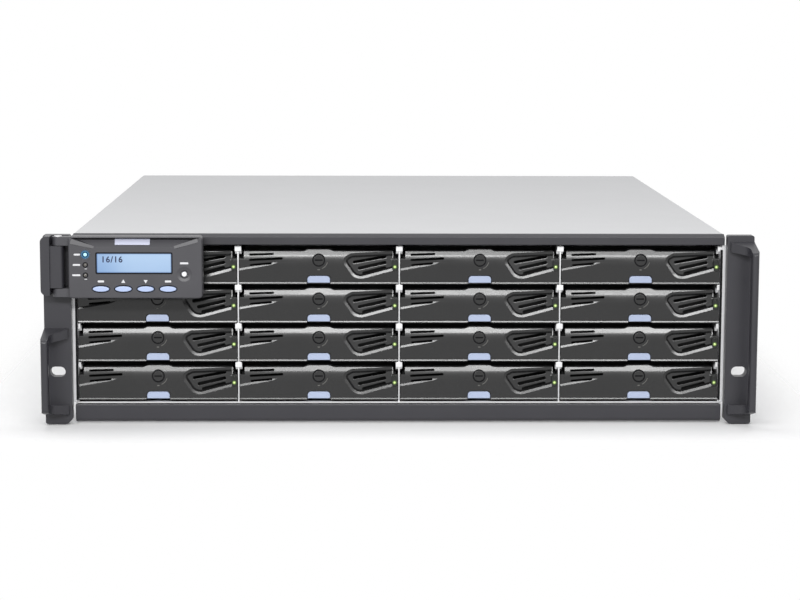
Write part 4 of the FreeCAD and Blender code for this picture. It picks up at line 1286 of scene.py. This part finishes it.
@dataclass
class Case:
    """Sheet case, front trims, ears and the drive cage."""

    finishes: Finishes
    trim_round: float = 0.4 * MM
    ear_round: float = 0.7 * MM
    cage_round: float = 0.15 * MM
    strip_gap: float = 0.35 * MM
    strip_wide: float = 1.55 * MM
    strip_deep: float = 1.2 * MM
    tray_wall: float = 13.0 * MM
    tray_black_and_shade: Color = (0.003, 0.003, 0.0032)
    drive_alloy: Color = (0.42, 0.42, 0.43)

    def dress(self) -> None:
        """Dresses every piece of the case."""
        look = self.finishes
        paint_node("chassis_tub", look.zinc)
        paint_node("midplane_board", look.board)
        paint_node("cover_screws", look.zinc)
        dress_copy("top_cover", look.cover, "silver_cover", 0.0)
        for node in ("top_trim", "bottom_trim"):
            dress_copy(node, look.black, "black_plastic", self.trim_round)
        for node in ("left_ear", "right_ear"):
            dress_copy(node, look.black, "black_plastic", self.ear_round, 3)
        dress_copy("drive_cage", look.zinc, "zinc_steel", self.cage_round, 1)
        self.shade_strips()
        self.trays()

    def shade_strips(self) -> None:
        """Near-black strips between the outer trays and the case walls: painted shade that stands for the
        dark gaps there.
        """
        flap_low, flap_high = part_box("tray_flap_4_4")
        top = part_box("tray_flap_1_4")[1].z
        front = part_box("chassis_tub")[0].y - 0.3 * MM
        inner = flap_high.x + self.strip_gap
        for side, way in (("left", -1), ("right", 1)):
            near, far = sorted((way * inner, way * (inner + self.strip_wide)))
            # painted shade: each strip is coloured near-black to stand for the shade in the gap beside the
            # outer trays
            strip = Workpiece.block("side_strip_" + side, Vector((near, front, flap_low.z)),
                                    Vector((far, front + self.strip_deep, top)))
            strip.round_edges(lambda place, along: abs(along.z) > ALONG, 0.2 * MM, 2)
            strip.smooth().dress("chassis", self.finishes.gasket_and_shade, "black_plastic")

    def trays(self) -> None:
        """Drive trays: front wall and lugs near-black, darker than black plastic, as painted shade for what
        shows through the flap vents; cast drive behind.
        """
        front = Vector((0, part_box("drive_tray_4_1")[0].y, 0))
        # painted shade: the trays' front wall is coloured darker than black plastic and made fully rough so
        # the flap vents read as shade
        black = Zone(front - mm(BEYOND, OVER, BEYOND), front + mm(BEYOND, self.tray_wall / MM, BEYOND),
                     self.tray_black_and_shade, 0.95)
        finish = ZonedMetal("drive_alloy", self.drive_alloy, (black,), 0.45, Axis.Y).make()
        for bay in bays():
            paint_node("drive_tray_" + bay, finish)


@dataclass
class ControlPanel:
    """Swing-out panel with display, lamps, keys and printed marks.

    Places are in millimetres from the panel's lower left corner; depths run back from its face.
    """

    finishes: Finishes
    housing_round: float = 0.35 * MM
    cover_round: float = 0.4 * MM
    bracket_round: float = 0.5 * MM
    button_round: float = 0.35 * MM
    cover_inset: float = 1.0
    window_left: float = 18.7
    window_low: float = 17.1
    window_wide: float = 50.6
    window_high: float = 13.6
    glass_deep: float = 0.7
    gasket_wide: float = 0.55
    gasket_bite: float = 0.35
    figures_at: Pair = (3.2, 7.4)
    figures_high: float = 5.6
    lamp_x: float = 11.4
    lamp_low: float = 15.8
    lamp_pitch: float = 6.95
    lamp_r: float = 1.22
    lamp_proud: float = 0.55
    lamp_long: float = 3.0
    lamp_marks: Tuple[float, ...] = (5.4, 5.0, 4.2)
    lamp_mark_gap: float = 3.4
    bezel_radii: Pair = (1.3, 1.9)
    bezel_sunk: float = 0.4
    halo_sunk: float = 0.48
    halo_r: float = 4.2
    key_wide: float = 11.0
    key_high: float = 3.75
    key_ring: float = 0.75
    key_gap: float = 0.1
    mute: Pair = (77.6, 16.5)
    dish_r: float = 5.0
    dish_rim: float = 0.3
    dish_run: float = 1.9
    dish_fall: float = 0.6
    dish_hole_r: float = 2.75
    ridge_wide: float = 1.7
    ridge_proud: float = 0.5
    key_mark_z: float = 11.6
    arrow_r: float = 1.55
    plate_x: float = 42.9
    plate_half: Tuple[float, ...] = (11.8, 0.35, 2.7)
    wedge_top: float = 41.8
    wedge_high: float = 7.1
    wedge_deep: float = 4.5

    def __post_init__(self) -> None:
        """Finds the panel's lower left corner and face in the frame."""
        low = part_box("panel_back_cover")[0]
        self.left = low.x - self.cover_inset * MM
        self.bottom = low.z - self.cover_inset * MM
        self.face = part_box("hinge_bracket")[0].y

    def spot(self, x: float, z: float, deep: float = 0.0) -> Vector:
        """Place on the panel's face in the frame."""
        return Vector((self.left + x * MM, self.face + deep * MM, self.bottom + z * MM))

    def dress(self) -> None:
        """Dresses the panel and everything on it."""
        look = self.finishes
        dress_copy("panel_housing", look.panel, "panel_plastic", self.housing_round)
        dress_copy("panel_back_cover", look.panel, "panel_plastic", self.cover_round)
        dress_copy("hinge_bracket", look.black, "black_plastic", self.bracket_round)
        dress_copy("hinge_pin", look.zinc, "zinc_steel", 0.0)
        self.display()
        self.lamps()
        self.keys()
        self.marks()
        self.ridge("ridge_left", (2.0, 39.45), (17.2, 34.6), -1.7)
        self.ridge("ridge_right", (70.9, 34.6), (86.6, 39.8), 0.9)
        self.blank_plate()

    def ridge(self, name: str, start: Pair, end: Pair, flare: float) -> None:
        """Raised ridge along a flank of the recess, with a slope that catches the light.

        Args:
            name: Its name.
            start: Its left end (x, z) on the face.
            end: Its right end.
            flare: How much wider its outer end is, below nought for the left end.
        """
        half, wide, proud = math.dist(start, end) / 2, self.ridge_wide, self.ridge_proud
        bar = Workpiece.block(name, mm(-half, -proud, -wide / 2), mm(half, 0.3, wide / 2))
        bar.slice(mm(0, -proud, -wide / 2), Vector((0, -wide, proud)))
        bar.shift(lambda place, normal: place.x * flare > 0 and place.z < 0, mm(0, 0, -abs(flare)))
        bar.lay(self.spot(*start), self.spot(*end))
        bar.smooth(angle=12).dress(PANEL, self.finishes.panel, "panel_plastic")

    def display(self) -> None:
        """Backlit glass, its dark rubber surround and plain figures on it."""
        low = self.spot(self.window_left, self.window_low, self.glass_deep)
        high = low + mm(self.window_wide, 0, self.window_high)
        finish = Backlight("display_glass", near=(0.22, 0.36, 0.60), far=(0.46, 0.61, 0.80),
                           rim=(0.08, 0.16, 0.36), low=low, high=high)
        paint_node("display_module", finish.make())
        edge, bite = self.gasket_wide, self.gasket_bite
        ring = Workpiece.block("display_gasket", low - mm(edge, 0.78, edge), high + mm(edge, 0.3, edge))
        hole = Workpiece.block("hole", low + mm(bite, -3, bite), high + mm(-bite, 3, -bite))
        hole.round_outline(0.5 * MM, 3)
        ring.round_outline(0.9 * MM, 4).combine(Combine.CUT, hole).smooth()
        ring.dress(PANEL, self.finishes.gasket_and_shade, "panel_plastic")
        x, z = self.figures_at
        self.figures("16/16", low + mm(x, -0.06, z), self.figures_high * MM)

    def figures(self, words: str, place: Vector, size: float) -> None:
        """Plain figures on the glass.

        Args:
            words: The figures.
            place: Their lower left corner.
            size: Their height.
        """
        Workpiece.alone()
        bpy.ops.object.text_add(location=place, rotation=(math.pi / 2, 0, 0))
        text = bpy.context.active_object
        text.data.body = words
        text.data.size = size
        text.data.space_character = 1.15
        text.data.offset = 0.025 * size
        bpy.ops.object.convert(target="MESH")
        ink = MouldedPlastic("display_ink", (0.006, 0.012, 0.05), 0.5)
        Workpiece.take("display_figures").dress(PANEL, ink.make(), "display")

    def lamps(self) -> None:
        """Three domed status lamps, the top one lit, with light spilled round it."""
        for index in range(3):
            place = self.spot(self.lamp_x, self.lamp_low + index * self.lamp_pitch, -self.lamp_proud)
            name = "status_lamp_%d" % (index + 1)
            dome = Workpiece.rod(name, self.lamp_r * MM, place, self.lamp_long * MM, Axis.Y, 32)
            dome.round_front(0.75 * MM, 5).smooth()
            lit = index == 2
            dome.dress(PANEL, self.finishes.blue if lit else self.finishes.dull, "lamp_lens",
                       *(["status_lights"] if lit else []))
            self.bezel("lamp_bezel_%d" % (index + 1), place, *self.bezel_radii)
            if lit:
                self.halo(place + mm(0, self.halo_sunk, 0))

    def halo(self, centre: Vector) -> None:
        """Thin disc of spilled light on the panel's face.

        Args:
            centre: Middle of its front.
        """
        radius = self.halo_r * MM
        disc = Workpiece.rod("lamp_halo", radius, centre, 0.05 * MM, Axis.Y, 48)
        disc.inset(lambda spot, normal: normal.y < -ALONG, 2.0 * MM)
        disc.dress(PANEL, Halo("lamp_spill", (0.05, 0.42, 0.85), centre, radius).make(), "lamp_lens")

    def bezel(self, name: str, place: Vector, inner: float, outer: float) -> None:
        """Dark ring round a lamp or a button.

        Args:
            name: Its name.
            place: Middle of what it surrounds, from which the ring's front lies back.
            inner: Its inner radius in millimetres.
            outer: Its outer radius.
        """
        ring = Workpiece.rod(name, outer * MM, place + mm(0, self.bezel_sunk, 0), 0.35 * MM, Axis.Y, 40)
        hole = Workpiece.rod("hole", inner * MM, place - mm(0, 1, 0), 4 * MM, Axis.Y, 40)
        ring.round_front(0.1 * MM, 2).combine(Combine.CUT, hole)
        ring.smooth().dress(PANEL, self.finishes.gasket_and_shade, "panel_plastic")

    def keys(self) -> None:
        """Pillow-shaped oval keys, each in a near-black ring of painted shade that stands for the gap round
        it, and the small round button.
        """
        for node in KEYS:
            low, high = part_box(node)
            centre = Vector(((low.x + high.x) / 2, low.y, (low.z + high.z) / 2))
            cap = self.oval(node + "_cap", centre, 0.0, high.y - low.y).round_front(0.6 * MM, 5)
            cap.smooth(angle=50).dress(node, self.finishes.key, "key_plastic", node)
            # painted shade: a thin near-black ring on the face round each key stands for the shade in the gap
            # round the key
            centre.y = self.face - 0.1 * MM
            ring = self.oval(node + "_ring", centre, self.key_ring, 0.3 * MM).round_front(0.08 * MM, 2)
            ring.combine(Combine.CUT, self.oval("hole", centre - mm(0, OVER, 0), self.key_gap, 4 * MM))
            ring.smooth().dress(PANEL, self.finishes.gasket_and_shade, "panel_plastic")
        dress_copy("mute_button", self.finishes.white, "white_plastic", self.button_round, 3)
        self.dish()

    def oval(self, name: str, start: Vector, margin: float, length: float) -> Workpiece:
        """Oval rod with a key's outline.

        Args:
            name: Its name.
            start: Middle of its front.
            margin: How far its outline lies outside a key's, in millimetres.
            length: Its length.

        Returns:
            The rod.
        """
        rod = Workpiece.rod(name, 1.0 * MM, Vector(), length, Axis.Y, 64)
        grow = Matrix.Diagonal((self.key_wide / 2 + margin, 1.0, self.key_high / 2 + margin, 1.0))
        return rod.place(Matrix.Translation(start) @ grow)

    def dish(self) -> None:
        """Shallow dish round the small button, with a dark ring at its foot."""
        low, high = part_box("mute_button")
        centre = Vector(((low.x + high.x) / 2, self.face, (low.z + high.z) / 2))
        dish = Workpiece.rod("mute_dish", self.dish_r * MM, centre - mm(0, 0.15, 0), 1.1 * MM, Axis.Y, 64)
        facing = lambda spot, normal: normal.y < -0.99
        dish.inset(facing, self.dish_rim * MM).inset(facing, self.dish_run * MM, -self.dish_fall * MM)
        hole = Workpiece.rod("hole", self.dish_hole_r * MM, centre - mm(0, 2, 0), 6 * MM, Axis.Y, 64)
        dish.combine(Combine.CUT, hole)
        dish.smooth(angle=12).dress(PANEL, self.finishes.panel, "panel_plastic")
        self.bezel("mute_ring", centre, (high.x - low.x) / 2 / MM + self.key_gap, self.dish_hole_r)

    def mark(self, name: str, x: float, z: float, wide: float, high: float) -> None:
        """Printed dash on the panel's face.

        Args:
            name: Its name.
            x: Its middle across.
            z: Its middle up.
            wide: Its width.
            high: Its height.
        """
        low = self.spot(x - wide / 2, z - high / 2, -0.04)
        dash = Workpiece.block(name, low, low + mm(wide, 0.1, high))
        dash.round_outline(high * 0.3 * MM, 3).dress(PANEL, self.finishes.ink, "white_plastic")

    def arrow(self, name: str, x: float, down: bool) -> None:
        """Printed arrow above a key.

        Args:
            name: Its name.
            x: Its middle across.
            down: Whether it points down.
        """
        Workpiece.alone()
        bpy.ops.mesh.primitive_cylinder_add(vertices=3, radius=self.arrow_r * MM, depth=0.1 * MM,
                                            location=self.spot(x, self.key_mark_z - 0.2),
                                            rotation=(math.pi / 2, 0, 0))
        arrow = Workpiece.take(name)
        if down:
            arrow.turn(math.pi, Axis.Y, self.spot(x, self.key_mark_z))
        arrow.round_outline(0.15 * MM, 2).dress(PANEL, self.finishes.ink, "white_plastic")

    def marks(self) -> None:
        """Plain printed marks beside the lamps and above the keys and the round button."""
        for index, wide in enumerate(self.lamp_marks):
            x, z = self.lamp_x - self.lamp_mark_gap - wide / 2, self.lamp_low + index * self.lamp_pitch
            self.mark("lamp_mark_%d" % (index + 1), x, z, wide, 1.2)
            if index < 2:
                self.mark("lamp_dash_%d" % (index + 1), self.lamp_x + 0.2, z - 2.7, 1.8, 0.4)
        self.mark("mute_mark", self.mute[0], self.mute[1] + 7.4, 5.6, 1.3)
        for node in KEYS:
            low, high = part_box(node)
            x = ((low.x + high.x) / 2 - self.left) / MM
            if node in ("key_up", "key_down"):
                self.arrow(node + "_mark", x, node == "key_down")
            else:
                self.mark(node + "_mark", x, self.key_mark_z, 4.2, 1.35)

    def blank_plate(self) -> None:
        """Plain metal plate on the sloping recess over the display."""
        slope = math.atan2(self.wedge_deep, self.wedge_high - 0.8)
        height = self.wedge_top - self.wedge_high / 2 + 0.2
        middle = self.spot(self.plate_x, height, self.wedge_deep / 2 - 0.1)
        half = mm(*self.plate_half)
        plate = Workpiece.block("blank_plate", middle - half, middle + half)
        plate.round_outline(0.6 * MM, 4).round_front(0.25 * MM, 3).turn(-slope, Axis.X, middle)
        plate.smooth().dress(PANEL, self.finishes.plate, "white_plastic")


@dataclass
class RearModules:
    """Controllers and power modules at the back.

    Zones are in millimetres from a module's middle, the case's rear and the module's lower side.
    """

    finishes: Finishes
    black: Color = (0.014, 0.014, 0.015)
    green: Color = (0.01, 0.10, 0.04)
    shadow: Color = (0.03, 0.03, 0.032)
    steel: Color = (0.60, 0.60, 0.61)
    alloy: Color = (0.58, 0.585, 0.59)
    roughness: float = 0.5
    board_half: float = 108.0
    skin: float = 1.2

    def __post_init__(self) -> None:
        """Finds the case's rear in the frame."""
        self.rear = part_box("chassis_tub")[1].y

    def dress(self) -> None:
        """Dresses the rear modules."""
        for node in ("controller_lower", "controller_upper"):
            self.controller(node)
        for side in ("left", "right"):
            self.power("power_module_" + side)
            dress_copy("fan_rotor_" + side, self.finishes.black, "black_plastic", 0.3 * MM)
            dress_copy("power_switch_" + side, self.finishes.gasket_and_shade, "switch_plastic", 0.5 * MM, 3)

    def behind(self, start: Vector, deep: float) -> Zone:
        """Black zone of all that stands out behind a depth."""
        return Zone(start + mm(-BEYOND, deep, -BEYOND), start + mm(BEYOND, BEYOND, BEYOND), self.black)

    def controller(self, node: str) -> None:
        """Steel tray with black levers, dark socket insides and a green board.

        Args:
            node: The CAD node.
        """
        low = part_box(node)[0]
        start = Vector((0, self.rear, low.z))
        front = (low.y - self.rear) / MM
        sockets = Zone(start + mm(-62, -16, 11.9), start + mm(40, -0.6, 21.2), self.black)
        board = Zone(start + mm(-self.board_half, front + 1, 8.6), start + mm(self.board_half, -17, 10.5),
                     self.green)
        zones = (self.behind(start, 0.3), sockets, board)
        finish = ZonedMetal(node + "_metal", self.steel, zones, self.roughness, Axis.X)
        dress_copy(node, finish.make(), "module_metal", 0.2 * MM, 1)

    def power(self, node: str) -> None:
        """Alloy box with black handle, inlet and switch well, and painted shade inside its fan duct.

        Args:
            node: The CAD node.
        """
        low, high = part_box(node)
        start = Vector(((low.x + high.x) / 2, self.rear, low.z))
        side, top = (high.x - low.x) / 2 / MM - self.skin, (high.z - low.z) / MM - self.skin
        inlet = Zone(start + mm(-42.2, -18.2, 9.7), start + mm(-13.8, BEYOND, 30.3), self.black)
        well = Zone(start + mm(-4.4, -14, 8.6), start + mm(12.4, BEYOND, 31.4), self.black)
        # painted shade: the inside of the fan duct behind the grille is coloured dark
        duct_shade = Zone(start + mm(-side, -40, 45), start + mm(side, -2.1, top), self.shadow)
        zones = (inlet, well, self.behind(start, 1.7), duct_shade)
        finish = ZonedMetal(node + "_metal", self.alloy, zones, self.roughness, Axis.X)
        dress_copy(node, finish.make(), "module_alloy", 0.25 * MM, 1)


@dataclass
class Studio:
    """Pale floor, soft light and the camera of the photograph."""

    focal_px: float = 2234.7
    image_wide: float = 800.0
    sensor_wide: float = 36.0
    eye: Vector = Vector((-0.02934, -1.76177, 0.28927))
    pitch: float = 0.1342
    yaw: float = 0.0197
    roll: float = 0.0031
    fill_color: Color = (0.97, 0.98, 1.0)
    fill_strength: float = 0.32
    floor_radius: float = 1.6
    floor_drop: float = 0.2 * MM
    floor_half: Pair = (0.245, 0.285)
    floor_fade: float = 0.08

    def build(self) -> None:
        """Sets up the whole studio."""
        bpy.context.scene.view_settings.view_transform = "Standard"
        self.camera()
        self.world()
        self.floor()
        self.lamp("key_strip", (-0.1, -1.227, 0.575), (0.0, -0.247, 0.075), (1.7, 0.1), 15.5)
        self.lamp("top_fill", (0.0, 0.05, 1.6), (0.0, 0.0, 0.13), (1.6, 0.8), 10.5)

    def camera(self) -> None:
        """Camera at the photograph's place and angle."""
        data = bpy.data.cameras.new("photo_camera")
        data.sensor_width = self.sensor_wide
        data.lens = self.focal_px * data.sensor_width / self.image_wide
        data.clip_start, data.clip_end = 0.05, 60.0
        camera = bpy.data.objects.new("photo_camera", data)
        bpy.context.scene.collection.objects.link(camera)
        camera.matrix_world = (Matrix.Translation(self.eye) @ Matrix.Rotation(-self.yaw, 4, "Z")
                               @ Matrix.Rotation(math.pi / 2 - self.pitch, 4, "X")
                               @ Matrix.Rotation(self.roll, 4, "Z"))
        bpy.context.scene.camera = camera

    def world(self) -> None:
        """White surroundings to the eye and in reflections, soft fill as light."""
        world = bpy.data.worlds.new("studio")
        bpy.context.scene.world = world
        world.use_nodes = True
        sky = Nodes(world.node_tree)
        eye, glossy, clear = (sky.node("ShaderNodeLightPath", output="Is %s Ray" % ray)
                              for ray in ("Camera", "Glossy", "Transmission"))
        fill = sky.node("ShaderNodeBackground", None,
                        {"Color": self.fill_color, "Strength": self.fill_strength})
        white = sky.node("ShaderNodeBackground", None, {"Color": (1.0, 1.0, 1.0)})
        mix = sky.node("ShaderNodeMixShader", None, {0: eye.either(glossy).either(clear), 1: fill, 2: white})
        sky.feed(sky.tree.nodes.new("ShaderNodeOutputWorld").inputs["Surface"], mix)

    def floor(self) -> None:
        """Pale round floor that fades into the white surroundings."""
        Workpiece.alone()
        bpy.ops.mesh.primitive_circle_add(vertices=96, radius=self.floor_radius, fill_type="NGON",
                                          location=(0, 0, -self.floor_drop))
        floor = Workpiece.take("floor")
        shader = Shader("pale_floor")
        x, y = shader.along(Axis.X), shader.along(Axis.Y)
        away = (x.either(0 - x) - self.floor_half[0]).either(y.either(0 - y) - self.floor_half[1])
        tone = shader.blend(shader.noise(4 * MM, 2.0), (0.93, 0.93, 0.93), (0.96, 0.96, 0.96))
        floor.obj.data.materials.append(shader.finish(
            {"Base Color": tone, "Roughness": 0.9, "Specular IOR Level": 0.1,
             "Alpha": 1 - away.ramp(0.0, self.floor_fade)}))

    def lamp(self, name: str, place: Sequence[float], aim: Sequence[float], size: Pair,
             power: float) -> None:
        """Rectangular soft light aimed at a point.

        Args:
            name: The lamp's name.
            place: Where it hangs.
            aim: The point it faces.
            size: Its width and height.
            power: Its power in watts.
        """
        data = bpy.data.lights.new(name, "AREA")
        data.shape = "RECTANGLE"
        data.size, data.size_y = size
        data.energy = power
        lamp = bpy.data.objects.new(name, data)
        bpy.context.scene.collection.objects.link(lamp)
        lamp.location = place
        lamp.rotation_euler = (Vector(aim) - Vector(place)).to_track_quat("-Z", "Y").to_euler()


def main() -> None:
    """Builds the array piece by piece."""
    logging.basicConfig(level=logging.INFO, format="%(message)s")
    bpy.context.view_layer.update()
    finishes = Finishes()
    Case(finishes).dress()
    TrayFlap().place_all(finishes)
    ControlPanel(finishes).dress()
    RearModules(finishes).dress()
    Studio().build()


if __name__ == "__main__":
    main()
